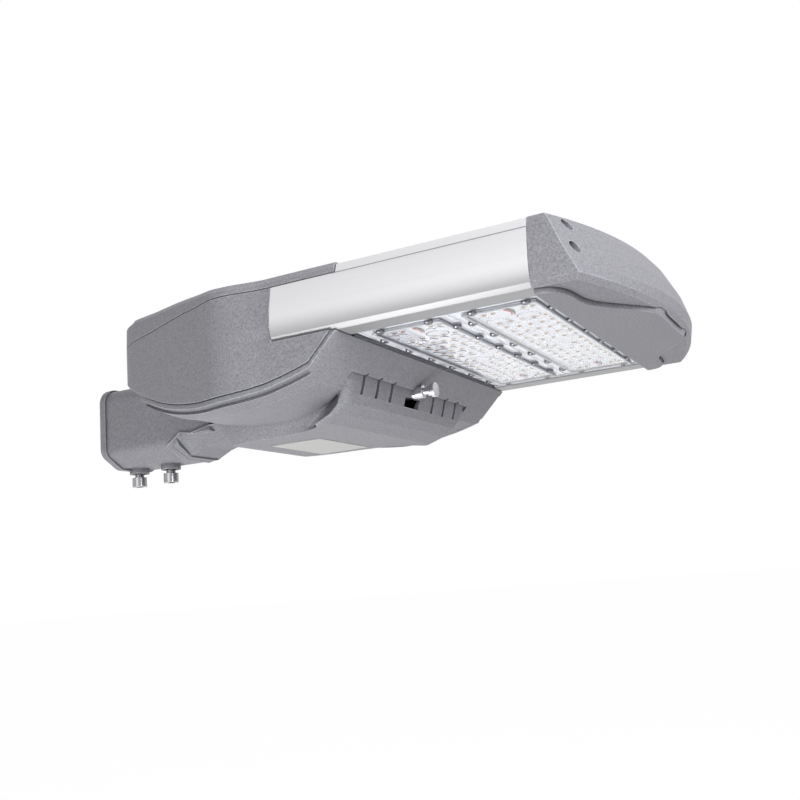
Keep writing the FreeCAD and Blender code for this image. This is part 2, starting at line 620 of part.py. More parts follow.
def makeHousing():
    gap, wall, half, inner = v("partingGap") / 2, v("wall"), v("frontHalf"), 8
    inset = wall + v("bowSeam") - v("frontIn")
    outline, under = solid("housing_outline", housingBlank()), solid("housing_under", belowEdge(-gap))
    blank = cut("housing_blank", outline, under)
    hollow = solid("housing_hollow", ruledSolid([ring(inset, z, half, 0, inner) for z in (far, -far)]))
    frontWall = middleBox("front_wall", (endless, endless, endless), "frontFace - wall", "-%d / 2" % far)
    pocketKeep = []
    pockets = []
    for side in (1, -1):
        away = "0" if side > 0 else endless
        edge = "%d * (railLedge - wall" % side
        pocketKeep.append(box("pocket_keep", (endless, endless, endless),
                              ("railRear - wall", edge + " - wall) - " + away, "railBottom - wall")))
        pockets.append(box("rail_pocket", (endless, endless, endless),
                           ("railRear", edge + ") - " + away, "railBottom")))
    channel = middleBox("channel", ("channelFront", "2 * channelHalf", endless), "0", "sleeveTop - %d" % far)
    channelKeep = middleBox("channel_keep", ("channelFront + wall", "2 * (channelHalf + wall)", endless),
                            "0", "trayLow - %d" % far)
    floorKeep = common(
        "floor_keep",
        solid("floor_band", belowEdge(-gap - wall)),
        middleBox("floor_zone", ("doorRear - wall / 3", endless, endless), "0", "-%d / 2" % far),
    )
    inside = cut("housing_inside", hollow, frontWall, *pocketKeep, channelKeep, floorKeep)
    skirtSize = ("channelFront - doorRear - skirtPlay", "2 * (channelHalf + wall)", "doorFlat")
    skirt = cut(
        "channel_skirt",
        middleBox("skirt_outer", skirtSize, "doorRear + wall + skirtPlay", "-doorFlat"),
        channel,
        solid("skirt_under", belowEdge(v("shelfDrop") - v("shelfWall") - v("skirtLift"))),
    )
    ledge = middleBox("tray_ledge", ("trayLedge", "trayWide", "wall"),
                      "frontFace - wall - trayLedge", "trayLow - wall")
    notchSize = ("notchBack + notchAhead", "hingeWide + 2 * hingePlay", "2 * notchHalf")
    notches = []
    ears = []
    for side in (1, -1):
        notches.append(box("lug_notch", notchSize,
                           ("hingeAt - notchBack", lugSide(side) + " - hingePlay", "hingeHigh - notchHalf")))
        for offset in (" + hingeWide + hingePlay", " - hingePlay - hingeEar"):
            ears.append(box("hinge_ear", ("earSize", "hingeEar", "earSize"),
                            ("hingeAt - 2 * earSize / 3", lugSide(side) + offset, "hingeHigh - eyeDia / 2")))
    shell = cut("housing_shell", blank, inside, channel, *pockets, *notches)
    fixing = [
        cylinder("fixing_hole", "(boltDia + threadPlay) / 2", "channelRoof + 2", (x, y, "sleeveTop - 1"))
        for x, y in sleeveBoltPlaces()
    ]
    pins = cylinder("pin_hole", "pinDia / 2", "pinSpan", ("hingeAt", "-pinSpan / 2", "hingeHigh"), "Y")
    gland = cylinder("gland_hole", "glandDia / 2", "wall + 10", ("channelFront - 5", "0", "glandHigh"), "X")
    whole = fuse("housing_whole", shell, skirt, ledge, *ears)
    node("housing", cut("housing", whole, pins, gland, *fixing))


def makeHingePins():
    pins = [
        cylinder("hinge_pin", "pinDia / 2", "hingeWide + 2 * (hingePlay + hingeEar)",
                 ("hingeAt", lugSide(side) + " - hingePlay - hingeEar", "hingeHigh"), "Y")
        for side in (1, -1)
    ]
    node("hinge_pins", fuse("hinge_pins", *pins))


# Top cover: lid that rises towards the rear, with a drawn-in seam edge and a step down at its rear end.
def coverHeight(x):
    return v("coverTop") + v("coverRise") * max(0, v("shoulderAt") - x)


def aboveCover(drop):
    """Everything above the cover's top moved down by drop."""
    rear, end = v("rearFace") - 20, v("frontFace") + 20
    step, crest = v("rearFace") + v("coverStepAt"), v("shoulderAt")
    crown = [(step + drop, coverHeight(step)), (crest, v("coverTop")), (end, v("coverTop"))]
    ledge = [(rear, coverHeight(step) - v("coverStep")), (step + drop, coverHeight(step) - v("coverStep"))]
    points = [(x, z - drop) for x, z in ledge + crown]
    return prismAcross(points + [(end, far), (rear, far)], far / 2)


def makeCover():
    seam, edge, wall = v("seamHeight"), v("coverEdge"), v("wall")
    half = sideBow()[1][1]
    lip, draw = 0.7, 3.6  # drawn-in seam edge, and how far the top edge leans in
    levels = [
        (lip, seam),
        (lip, seam + lip),
        (0, seam + 1.3 * lip),
        (0.4, lambda x: coverHeight(x) - edge),
        (draw, lambda x: coverHeight(x) + 0.5),
        (draw, far),
    ]
    blank = ruledSolid([ring(inset, z, half) for inset, z in levels]).cut(aboveCover(0))
    hollow = ruledSolid([ring(wall + 1, z, half, 0, 8) for z in (seam - wall, far)]).cut(aboveCover(wall))
    keepFront = middleBox("cover_front", (endless, endless, endless), "frontFace - wall", "0")
    inside = cut("cover_inside", solid("cover_hollow", hollow), keepFront)
    node("top_cover", cut("top_cover", solid("cover_blank", blank), inside))


# Side rail: extruded section with a bowed outer wall, a lower flange and a ledge for the modules.
def railSection(side):
    half, low, top = v("railHalf"), v("railBottom"), v("railTop")
    wall, ledge, head = v("railWall"), v("ledgeTop"), v("railHalf") - v("railHead")
    lip, web = v("moduleHalf") + v("lipSide"), v("railHalf") - v("railWall") - 1
    outer = [(across, height) for height, across in sideBow()]
    inner = [(across - wall, height) for across, height in outer]
    inner[0] = (inner[0][0], top - wall)
    inner[-1] = (half - wall, ledge)

    def at(point):
        return Vector(side * point[0], point[1], 0)

    def run(points):
        corners = [at(p) for p in points]
        return [Part.LineSegment(p, q) for p, q in zip(corners, corners[1:])]

    shelf = ledge - v("ledgeThick")
    foot = [outer[-1], (half - 4, low), (lip, low), (lip, low + v("lipThick")), (web, low + v("lipThick")),
            (web, shelf), (v("railLedge"), shelf), (v("railLedge"), ledge), inner[-1]]
    crown = [inner[0], (head, top - wall), (head, top), outer[0]]
    return [spline([at(p) for p in outer]), *run(foot), spline([at(p) for p in reversed(inner)]), *run(crown)]


def screwPlaces(side):
    return [("%d * (railHalf - %s)" % (side, across), high)
            for across, high in (("screwLowIn", "screwLowAt"), ("screwHighIn", "screwHighAt"))]


def makeRail(label, side):
    long = "railFront - railRear"
    rail = padBody(label + "_profile", railSection(side), "railRear", long)
    notch = middleBox("cover_notch", ("railOverlap + 0.6", endless, endless), "railRear", "seamHeight")
    bosses = []
    bores = []
    for y, high in screwPlaces(side):
        bosses.append(cylinder("screw_boss", "screwBossDia / 2", long, ("railRear", y, high), "X"))
        bores.append(cylinder("screw_bore", "screwDia / 2", "screwLong",
                              ("railFront + 5 - screwLong", y, high), "X"))
    web = box("boss_web", (long, "screwLowIn - railWall / 2", "railWall"),
              ("railRear", screwPlaces(side)[0][0] + (" - screwLowIn + railWall / 2" if side < 0 else ""),
               "screwLowAt - railWall / 2"))
    node(label, cut(label, fuse(label + "_blank", rail, web, *bosses), notch, *bores))


# End cap: hollow casting with a raked front that bows forward in plan.
def capRing(height, half, crease, nose, start):
    ends = [Vector(start, -half, height), Vector(start, half, height)]
    creases = [Vector(crease, half, height), Vector(crease, -half, height)]
    arc = Part.Arc(creases[0], Vector(nose, 0, height), creases[1]).toShape()
    return [Part.makeLine(*ends), Part.makeLine(ends[1], creases[0]), arc, Part.makeLine(creases[1], ends[0])]


def capLevels():
    """Height, half width, side crease and nose of the cap, from the bottom up."""
    edges = [(v("railTop") + v("capRise"), v("railHalf") - v("bowTop") - 2.5), *sideBow(),
             (v("capBelly"), v("railHalf") - 4)]
    # Shares of the cap's reach: side crease and nose, for the same levels.
    front = [(0.164, 0.684), (0.198, 0.719), (0.25, 0.802), (0.362, 0.94), (0.457, 1), (0.505, 0.957),
             (0.457, 0.905)]
    rear, reach = v("railFront"), v("capReach")
    levels = [
        (height, half, rear + crease * reach, rear + nose * reach)
        for (height, half), (crease, nose) in zip(edges, front)
    ]
    return levels[::-1]


def capTongue(levels):
    """Tongue under the cap through levels: height, and how far the outline is grown there."""
    rear = v("railFront")
    # Shares of the cap's reach and of its half width, along the groove that bounds the tongue.
    groove = [(0, 0.96), (0.155, 0.946), (0.276, 0.851), (0.319, 0.682), (0.414, 0.588), (0.655, 0.439),
              (0.81, 0.345), (0.88, 0.176)]
    rings = []
    for height, grow in levels:
        reach, wide = v("capReach") + grow, v("railHalf") + grow
        run = [Vector(rear + along * reach, wide * across, height) for along, across in groove]
        rings.append(closedRing([run]))
    return ruledSolid(rings)


def makeCap():
    rear, wall = v("railFront"), v("capWall")
    outer = ruledSolid([capRing(z, half, crease, nose, rear) for z, half, crease, nose in capLevels()])
    low, high = v("capBelly") + wall, v("railTop") + v("capRise") - wall
    inner = []
    for z, half, crease, nose in capLevels()[1:-1:2]:
        inner.append(capRing(min(max(z, low), high), half - wall, crease - wall, nose - wall, rear - 1))
    posts = []
    bores = []
    for side in (1, -1):
        for y, at in screwPlaces(side):
            posts.append(cylinder("cap_post", "screwPostDia / 2", "capReach / 2", ("railFront", y, at), "X"))
            bores.append(cylinder("cap_screw_hole", "screwDia / 2", endless, ("railFront", y, at), "X"))
            bores.append(cylinder("cap_counterbore", "(screwHeadDia + screwPlay) / 2", endless,
                                  ("railFront + screwSeat", y, at), "X"))
    belly, groove = v("capBelly"), v("capGroove")
    moat = capTongue([(belly - 1, groove), (belly + groove, groove)])
    tongue = capTongue([(belly - v("capTongue"), -1.5), (belly + groove + 0.5, 0)])
    blank = solid("cap_blank", outer.cut(moat).fuse(tongue))
    shell = cut("cap_shell", blank, solid("cap_hollow", ruledSolid(inner)))
    inPosts = common("cap_posts", blank, fuse("cap_post_group", *posts))
    node("end_cap", cut("end_cap", fuse("cap_whole", shell, inPosts), *bores))


def makeCapScrews():
    seat = "railFront + screwSeat"
    screws = []
    for side in (1, -1):
        for y, at in screwPlaces(side):
            shank = cylinder("cap_screw_shank", "screwDia / 2", "screwLong",
                             (seat + " - screwLong", y, at), "X")
            head = cylinder("cap_screw_head", "screwHeadDia / 2", "screwHeadHigh", (seat, y, at), "X")
            key = hexagon("cap_screw_key", "screwHeadDia / 4", "screwHeadHigh",
                          (seat + " + 0.4 * screwHeadHigh", y, at), "X")
            screws.append(cut("cap_screw", fuse("cap_screw_blank", shank, head), key))
    node("end_cap_screws", fuse("end_cap_screws", *screws))


# LED module: finned heat sink, LED board, gasket and lens plate.
def sinkSection():
    base = v("panelFace") + v("lensThick") + v("gasketThick")
    top, ledge = base + v("sinkBase"), v("ledgeTop")
    ear, shoulder = v("railHalf") - v("railWall") - v("earPlay"), v("moduleHalf") - v("sinkPlay")
    count = int((v("moduleHalf") - v("finMargin")) / v("finPitch"))
    points = []
    for k in range(-count, count + 1):
        left, right = k * v("finPitch") - v("finThick") / 2, k * v("finPitch") + v("finThick") / 2
        points += [(left, top), (left, v("finTop")), (right, v("finTop")), (right, top)]
    side = [(ear, top), (ear, ledge), (shoulder, ledge), (shoulder, base)]
    return polygon(points + side + [(-a, b) for a, b in reversed(side)])


def makeModule(place, start):
    face = "panelFace + lensThick"
    sink = padBody("module_heatsink_" + place, sinkSection(), start, "moduleLong")
    node("module_heatsink_" + place, sink)
    inner = "%s + lensMargin" % start
    field = ("moduleLong - 2 * lensMargin", "2 * (moduleHalf - lensMargin)")
    board = middleBox("board_" + place, (*field, "boardThick"), inner, face + " + gasketThick - boardThick")
    node("led_board_" + place, board)
    sheetSize = ("moduleLong", "2 * moduleHalf")
    beadSize = [side + " + 2 * gasketBead" for side in field] + ["gasketThick"]
    gasket = fuse("gasket_blank",
                  middleBox("gasket_sheet", (*sheetSize, "gasketThick - beadProud"), start,
                            face + " + beadProud"),
                  middleBox("gasket_bead", beadSize, inner + " - gasketBead", face))
    window = middleBox("gasket_window", (*field, "10"), inner, face + " - 1")
    node("lens_gasket_" + place, cut("gasket_" + place, gasket, window))
    plate = middleBox("lens_flange", (*sheetSize, "lensThick"), start, "panelFace")
    raised = middleBox("lens_field", (*field, "lensRaise + 1"), inner, "panelFace - lensRaise")
    pocket = middleBox("lens_pocket", (*field, "10"), inner,
                       face + " + gasketThick - boardThick - lensCavity")
    node("lens_plate_" + place, cut("lens_" + place, fuse("lens_blank", plate, raised), pocket))


# Gear: tray under the cover with the driver, surge protector and terminal block hung from it.
def makeGear():
    traySize = ("frontFace - wall - trayRear", "trayWide", "plateThick")
    node("gear_tray", middleBox("tray", traySize, "trayRear", "trayLow"))
    driverSize = ("driverLong", "driverWide", "driverHigh")
    node("led_driver", middleBox("driver", driverSize, "driverRear", "trayLow - driverHigh"))
    ahead = "driverRear + driverLong + gearGap"
    surgeSize = ("surgeLong", "surgeWide", "surgeHigh")
    surgeAt = (ahead, "-surgeSide - surgeWide", "trayLow - surgeHigh")
    node("surge_protector", box("surge", surgeSize, surgeAt))
    count = 3
    block = box("block", ("blockLong", "%d * wayPitch + wayPitch" % count, "blockHigh"),
                (ahead, "blockSide", "trayLow - blockHigh"))
    ways = [
        cylinder("block_way", "wayDia / 2", "blockLong + 10",
                 (ahead + " - 5", "blockSide + %d * wayPitch" % (k + 1), "trayLow - wayDrop"), "X")
        for k in range(count)
    ]
    node("terminal_block", cut("terminal_block", block, *ways))
    nutAt, long = "channelFront - glandNutLong", "glandNutLong + wall + glandLock + glandEnd"
    gland = fuse(
        "gland_blank",
        cylinder("gland_body", "glandDia / 2", long, (nutAt, "0", "glandHigh"), "X"),
        hexagon("gland_nut", "glandNut / 2", "glandNutLong", (nutAt, "0", "glandHigh"), "X"),
        hexagon("gland_lock", "glandNut / 2", "glandLock", ("channelFront + wall", "0", "glandHigh"), "X"),
    )
    way = cylinder("gland_way", "glandWay / 2", endless, (nutAt + " - 10", "0", "glandHigh"), "X")
    node("cable_gland", cut("cable_gland", gland, way))


def makeStriker():
    upright = middleBox("striker_leg", ("plateThick", "strikerWide", "strikerArm + latchAxis + strikerEdge"),
                        "strikerAt", "-latchAxis - strikerEdge")
    arm = middleBox("striker_arm", ("strikerBack - wall", "strikerWide", "plateThick"),
                    "strikerAt", "strikerArm")
    hole = cylinder("striker_hole", "(plungerDia + strikerPlay) / 2", "3 * plateThick",
                    ("strikerAt - plateThick", "0", "-latchAxis"), "X")
    node("striker_plate", cut("striker_plate", fuse("striker_blank", upright, arm), hole))


# Driver door: stepped hull with a driver box under it, whose vented front bulges forward.
def boxRing(share, ahead, inset):
    """Outline of the driver box at a share of its height, its front at a share of the front's run."""
    def between(part, share):
        return v("box" + part + "Low") + share * (v("box" + part + "High") - v("box" + part + "Low"))

    height = (1 - share) * (inset - v("doorFlat")) - share * v("boxTop")
    rear, front = between("Rear", share) + inset, between("Front", ahead) - inset
    tail, waist, flare, nose = [between(part, share) - inset for part in ("Tail", "Waist", "Flare", "Nose")]
    heel = (rear + 2.5, tail)
    cheek = (front - 7, nose)
    runs = [
        [(rear, tail - 3), heel],
        [heel, (rear + 0.45 * (front - rear), waist), (front - 27, flare), cheek],
        [cheek, (front - 2, nose - 1.5), (front, nose - 7)],
    ]
    if inset:
        runs = [list(pair) for run in runs for pair in zip(run, run[1:])]
    return closedRing([[Vector(x, half, height) for x, half in run] for run in runs])


def doorBox(inset):
    # Shares of the box's height and of its front's run, from the flat bottom up.
    profile = [(0, 0), (0.16, 0.44), (0.355, 0.735), (0.56, 0.87), (0.76, 0.94), (1, 1)]
    if inset:
        profile = profile[::2] + profile[-1:]
    return ruledSolid([boxRing(share, ahead, inset) for share, ahead in profile])


def lowered(drop):
    """Height of the housing's lower edge moved down by drop, for a ring."""
    return lambda x: edgeHeight(x) - drop


def doorHull():
    inset, side, under = v("doorInset"), v("frontHalf"), -2 * v("doorFlat")
    lip, edge, shelf = v("lipDrop"), v("lipIn"), v("shelfDrop")
    # Steps down the side: distance inside the edge and drop below the parting edge.
    steps = [(0, 3.6), (4.6, 5), (4.6, 6.2), (3.4, 6.8), (edge + 4, lip + 0.7)]
    rings = [ring(inset, v("seamHeight"), side, 10)]
    rings += [ring(inset + back, lowered(drop), side, 10) for back, drop in steps]
    rings.append(ring(inset + edge + 4, under, side, 10))
    cove = [(edge, under - 5), (edge, lowered(shelf + 0.5)), (v("shelfIn"), lowered(shelf - 0.5)),
            (v("shelfIn"), v("seamHeight"))]
    hollow = ruledSolid([ring(inset + back, height, side, 20, 8) for back, height in cove])
    return ruledSolid(rings).cut(hollow.common(belowEdge(shelf)))


def ventRecess(grow):
    """Recess that bares the vent face under the slanted front, grown on all sides."""
    face = v("boxFrontHigh") - 3 - grow
    half, low = v("recessWide") + grow, -v("recessLow")
    return Part.makeBox(far, 2 * half, -v("recessTop") + grow - low, Vector(face, -half, low))


def makeDoor():
    wall, gap = v("wall"), v("partingGap") / 2
    above = Part.makeBox(far, far, far, Vector(0, -far / 2, -2 * v("doorFlat"))).cut(belowEdge(gap))
    hull = doorHull().cut(above).cut(beforeSlant(0)).cut(ventRecess(0))
    rearCut = Part.makeBox(v("doorRear"), far, far, Vector(0, -far / 2, -far / 2))
    outer = hull.fuse(doorBox(0)).cut(rearCut)
    rim = v("doorInset") + v("doorRim")
    room = ruledSolid([ring(rim, z, v("frontHalf"), 10, 8) for z in (far, -far)])
    room = room.cut(belowEdge(v("shelfDrop") - v("shelfWall")))
    room = room.cut(Part.makeBox(v("doorRear") + wall, far, far * 2, Vector(0, -far / 2, -far)))
    room = room.cut(beforeSlant(alongSlant(v("slantWall")))).cut(ventRecess(wall)).fuse(doorBox(wall))
    wayHalf = v("channelHalf")
    way = Part.makeBox(v("channelFront") + 2, 2 * wayHalf, far, Vector(0, -wayHalf, -far / 2))
    shell = solid("door_shell", outer.cut(room).cut(way))
    tools = []
    inFront = "strikerAt + plateThick"
    for side in (1, -1):
        for k in range(3):
            middle = "%d * (slotFirst + %d * slotPitch)" % (side, k)
            tools.append(box("vent_slot", (endless, "slotWide", "slotLow - slotTop"),
                             (inFront, middle + " - slotWide / 2", "-slotLow")))
    tools.append(middleBox("latch_window", (endless, "windowWide", "windowHigh"), inFront, "-windowLow"))
    tools.append(cylinder("latch_hole", "barrelDia / 2", endless, (inFront, "0", "-latchAxis"), "X"))
    lugs = []
    for side in (1, -1):
        y = lugSide(side)
        lugs.append(cylinder("lug_eye", "eyeDia / 2", "hingeWide", ("hingeAt", y, "hingeHigh"), "Y"))
        lugs.append(box("lug_web", ("webLong", "hingeWide", "webDeep"),
                        ("hingeAt - webLong / 8", y, "hingeHigh - webDeep")))
    bore = cylinder("lug_bore", "(pinDia + pinPlay) / 2", "pinSpan",
                    ("hingeAt", "-pinSpan / 2", "hingeHigh"), "Y")
    whole = fuse("door_whole", cut("door_vented", shell, *tools), *lugs)
    node("driver_door", cut("driver_door", whole, bore))


# Latch: barrel in the door, and a spring plunger with its pull knob.
def makeLatch():
    rear, axis = "strikerAt + plateThick + barrelGap", "-latchAxis"
    body = cylinder("barrel_body", "barrelDia / 2", "barrelLong", (rear, "0", axis), "X")
    bore = cylinder("barrel_bore", "(plungerDia + plungerPlay) / 2", endless, ("strikerAt", "0", axis), "X")
    node("latch_barrel", cut("latch_barrel", body, bore))
    tip, long = "strikerAt - plungerPast", "plungerPast + strikerBack + knobLead - knobThick / 2"
    rod = cylinder("plunger_rod", "plungerDia / 2", long, (tip, "0", axis), "X")
    disc = cylinder("knob_disc", "knobDia / 2", "knobThick", ("knobFace - knobThick", "0", axis), "X")
    collar = cylinder("knob_collar", "plungerDia / 2 + collarProud", "collarThick",
                      ("knobFace - knobThick - knobNeck - collarThick", "0", axis), "X")
    node("latch_knob", fuse("latch_knob", rod, disc, collar))


sleeveEnvelope = makeSleeve()
makeClampBolts()
makeSleeveBolts()
makeSaddle(sleeveEnvelope)
makeHousing()
makeHingePins()
makeCover()
makeRail("side_rail_left", 1)
makeRail("side_rail_right", -1)
makeCap()
makeCapScrews()
makeModule("rear", "moduleRear")
makeModule("front", "moduleFront")
makeGear()
makeStriker()
makeDoor()
makeLatch()
doc.recompute()

for obj in doc.Objects:
    if "Invalid" in obj.State or "Error" in obj.State:
        raise RuntimeError("failed: " + obj.Name)
for label, obj in nodes.items():
    if obj.Shape.isNull() or not obj.Shape.isValid():
        raise RuntimeError("bad shape: " + label)

os.makedirs("parts", exist_ok=True)
for label, obj in nodes.items():
    obj.Shape.exportStep(os.path.join("parts", label + ".step"))
    print(label, len(obj.Shape.Solids), round(obj.Shape.Volume))
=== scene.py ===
import math

import bpy
from mathutils import Matrix, Vector


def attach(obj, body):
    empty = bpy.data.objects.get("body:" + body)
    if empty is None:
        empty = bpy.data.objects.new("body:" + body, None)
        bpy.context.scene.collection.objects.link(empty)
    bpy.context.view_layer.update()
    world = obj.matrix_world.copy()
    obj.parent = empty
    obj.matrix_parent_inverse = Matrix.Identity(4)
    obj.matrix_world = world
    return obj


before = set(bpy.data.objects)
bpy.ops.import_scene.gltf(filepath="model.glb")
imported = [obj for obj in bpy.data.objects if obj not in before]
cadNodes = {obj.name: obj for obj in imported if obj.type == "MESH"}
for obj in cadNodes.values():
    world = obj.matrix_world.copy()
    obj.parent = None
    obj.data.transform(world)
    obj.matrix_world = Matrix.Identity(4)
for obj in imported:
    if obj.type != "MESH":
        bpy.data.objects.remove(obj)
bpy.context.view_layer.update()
scene = bpy.context.scene
scene.view_settings.view_transform = "Standard"
mm = 0.001
bothSides = (-1, 1)


def tone(red, green, blue):
    # screen values from 0 to 1, turned into the linear ones that sockets take
    screen = (red, green, blue)
    return tuple(c / 12.92 if c <= 0.04045 else ((c + 0.055) / 1.055) ** 2.4 for c in screen) + (1,)


# Camera and studio

view = {
    "place": (0.6034, -0.6654, -0.1487),
    "right": (0.88638, 0.45679, -0.07531),
    "up": (0.1495, -0.1285, 0.9804),
    "forward": (-0.43814, 0.88024, 0.18224),
    "lens": 43.87,
    "sensor": 36,
}

studio = {
    "ambient": 0.18,
    "white": (1, 1, 1, 1),
    "floorHeight": -0.75,
    "floorHalf": 40,
    "floorMatt": (0.8, 0.8, 0.8, 1),
    "floorShare": 0.8,  # of plain white, the rest takes the shadow
    "floorWhite": 1.2,
}

lamps = {
    "keyRight": {"place": (1.3, -0.65, 0.25), "aim": (0.35, 0, 0), "size": 0.5, "watts": 10.2},
    "fillLeft": {"place": (0.0, -1.7, 0.4), "aim": (0.2, 0, 0), "size": 1.0, "watts": 4},
    "skyPanel": {"place": (0.2, 0.1, 1.7), "aim": (0.25, 0, 0), "size": 1.4, "watts": 8},
    "fillBack": {"place": (-0.8, 1.4, 0.35), "aim": (0.2, 0, 0), "size": 1.0, "watts": 6},
    "underPanel": {"place": (0.05, -0.36, -0.68), "aim": (0.22, 0, 0), "size": 0.3, "watts": 2.4},
}


def makeCamera():
    data = bpy.data.cameras.new("photoCamera")
    data.lens, data.sensor_width = view["lens"], view["sensor"]
    camera = bpy.data.objects.new("photoCamera", data)
    scene.collection.objects.link(camera)
    axes = [Vector(view["right"]), Vector(view["up"]), -Vector(view["forward"])]
    camera.matrix_world = Matrix.Translation(view["place"]) @ Matrix(axes).transposed().to_4x4()
    scene.camera = camera


def seenDirectly(tree):
    # 1 for rays from the camera, mirrors and glass, 0 for the rest
    path = tree.nodes.new("ShaderNodeLightPath")
    total = path.outputs["Is Camera Ray"]
    for name in ("Is Glossy Ray", "Is Transmission Ray"):
        larger = tree.nodes.new("ShaderNodeMath")
        larger.operation = "MAXIMUM"
        tree.links.new(total, larger.inputs[0])
        tree.links.new(path.outputs[name], larger.inputs[1])
        total = larger.outputs[0]
    return total


def makeWorld():
    world = bpy.data.worlds.new("whiteStudio")
    world.use_nodes = True
    tree = world.node_tree
    tree.nodes.clear()
    ambient = tree.nodes.new("ShaderNodeBackground")
    ambient.inputs["Color"].default_value = studio["white"]
    ambient.inputs["Strength"].default_value = studio["ambient"]
    white = tree.nodes.new("ShaderNodeBackground")
    white.inputs["Color"].default_value = studio["white"]
    mix = tree.nodes.new("ShaderNodeMixShader")
    out = tree.nodes.new("ShaderNodeOutputWorld")
    tree.links.new(seenDirectly(tree), mix.inputs[0])
    tree.links.new(ambient.outputs[0], mix.inputs[1])
    tree.links.new(white.outputs[0], mix.inputs[2])
    tree.links.new(mix.outputs[0], out.inputs["Surface"])
    scene.world = world


def makeFloor():
    half, height = studio["floorHalf"], studio["floorHeight"]
    mesh = bpy.data.meshes.new("studioFloor")
    corners = [(-half, -half, height), (half, -half, height), (half, half, height), (-half, half, height)]
    mesh.from_pydata(corners, [], [(0, 1, 2, 3)])
    floor = bpy.data.objects.new("studioFloor", mesh)
    scene.collection.objects.link(floor)
    material = bpy.data.materials.new("studioWhite")
    material.use_nodes = True
    tree = material.node_tree
    tree.nodes.clear()
    matt = tree.nodes.new("ShaderNodeBsdfDiffuse")
    matt.inputs["Color"].default_value = studio["floorMatt"]
    white = tree.nodes.new("ShaderNodeEmission")
    white.inputs["Strength"].default_value = studio["floorWhite"]
    share = tree.nodes.new("ShaderNodeMath")
    share.operation = "MULTIPLY"
    share.inputs[1].default_value = studio["floorShare"]
    mix = tree.nodes.new("ShaderNodeMixShader")
    out = tree.nodes.new("ShaderNodeOutputMaterial")
    tree.links.new(seenDirectly(tree), share.inputs[0])
    tree.links.new(share.outputs[0], mix.inputs[0])
    tree.links.new(matt.outputs[0], mix.inputs[1])
    tree.links.new(white.outputs[0], mix.inputs[2])
    tree.links.new(mix.outputs[0], out.inputs["Surface"])
    mesh.materials.append(material)


def makeLamps():
    for name, lamp in lamps.items():
        data = bpy.data.lights.new(name, "AREA")
        data.shape, data.size, data.energy = "SQUARE", lamp["size"], lamp["watts"]
        light = bpy.data.objects.new(name, data)
        scene.collection.objects.link(light)
        light.location = lamp["place"]
        beam = Vector(lamp["aim"]) - Vector(lamp["place"])
        light.rotation_euler = beam.to_track_quat("-Z", "Y").to_euler()


makeCamera()
makeWorld()
makeFloor()
makeLamps()
print("stage: camera, white studio and", len(lamps), "lamps")


# Shader groups

grainValues = {"fineDetail": 2, "driftPerMetre": 14, "driftDetail": 1}
edgeValues = {"bevelSamples": 6, "openSamples": 8, "openFrom": 0.75, "openGain": 4}
drawValues = {"stretch": (4, 900, 900), "detail": 3, "roughnessSwing": 0.25}


def shaderGroup(name, inputs, outputs):
    group = bpy.data.node_groups.new(name, "ShaderNodeTree")
    for label, kind, value in inputs:
        socket = group.interface.new_socket(label, in_out="INPUT", socket_type="NodeSocket" + kind)
        socket.default_value = value
    for label, kind in outputs:
        group.interface.new_socket(label, in_out="OUTPUT", socket_type="NodeSocket" + kind)
    return group, group.nodes.new("NodeGroupInput").outputs, group.nodes.new("NodeGroupOutput").inputs


def calc(tree, operation, first, second, clamp=False):
    node = tree.nodes.new("ShaderNodeMath")
    node.operation, node.use_clamp = operation, clamp
    for socket, value in zip(node.inputs, (first, second)):
        if isinstance(value, (int, float)):
            socket.default_value = value
        else:
            tree.links.new(value, socket)
    return node.outputs[0]


def noise(tree, scale, detail, stretch=None):
    place = tree.nodes.new("ShaderNodeTexCoord").outputs["Object"]
    if stretch is not None:
        mapping = tree.nodes.new("ShaderNodeMapping")
        mapping.inputs["Scale"].default_value = stretch
        tree.links.new(place, mapping.inputs["Vector"])
        place = mapping.outputs[0]
    node = tree.nodes.new("ShaderNodeTexNoise")
    node.inputs["Detail"].default_value = detail
    tree.links.new(place, node.inputs["Vector"])
    if isinstance(scale, (int, float)):
        node.inputs["Scale"].default_value = scale
    else:
        tree.links.new(scale, node.inputs["Scale"])
    return node.outputs["Fac"]


def fromMiddle(tree, pattern):
    return calc(tree, "SUBTRACT", pattern, 0.5)  # noise runs from 0 to 1


def scaled(tree, color, factor):
    node = tree.nodes.new("ShaderNodeVectorMath")
    node.operation = "SCALE"
    tree.links.new(color, node.inputs[0])
    tree.links.new(factor, node.inputs["Scale"])
    return node.outputs[0]


def makeGrainGroup():
    # fine speckle of a coating or casting, with slow cloudy drift
    group, given, out = shaderGroup(
        "coatGrain",
        [("Color", "Color", (0.5, 0.5, 0.5, 1)), ("Grain per metre", "Float", 1400),
         ("Speckle", "Float", 0.1), ("Drift", "Float", 0.05),
         ("Roughness", "Float", 0.45), ("Roughness swing", "Float", 0.15)],
        [("Color", "Color"), ("Roughness", "Float"), ("Height", "Float")],
    )
    fine = noise(group, given["Grain per metre"], grainValues["fineDetail"])
    slow = noise(group, grainValues["driftPerMetre"], grainValues["driftDetail"])
    fineSwing, slowSwing = fromMiddle(group, fine), fromMiddle(group, slow)
    factor = calc(group, "ADD", calc(group, "MULTIPLY", fineSwing, given["Speckle"]),
                  calc(group, "MULTIPLY", slowSwing, given["Drift"]))
    group.links.new(scaled(group, given["Color"], calc(group, "ADD", factor, 1)), out["Color"])
    swing = calc(group, "MULTIPLY", fineSwing, given["Roughness swing"])
    group.links.new(calc(group, "ADD", swing, given["Roughness"], True), out["Roughness"])
    group.links.new(fine, out["Height"])
    return group


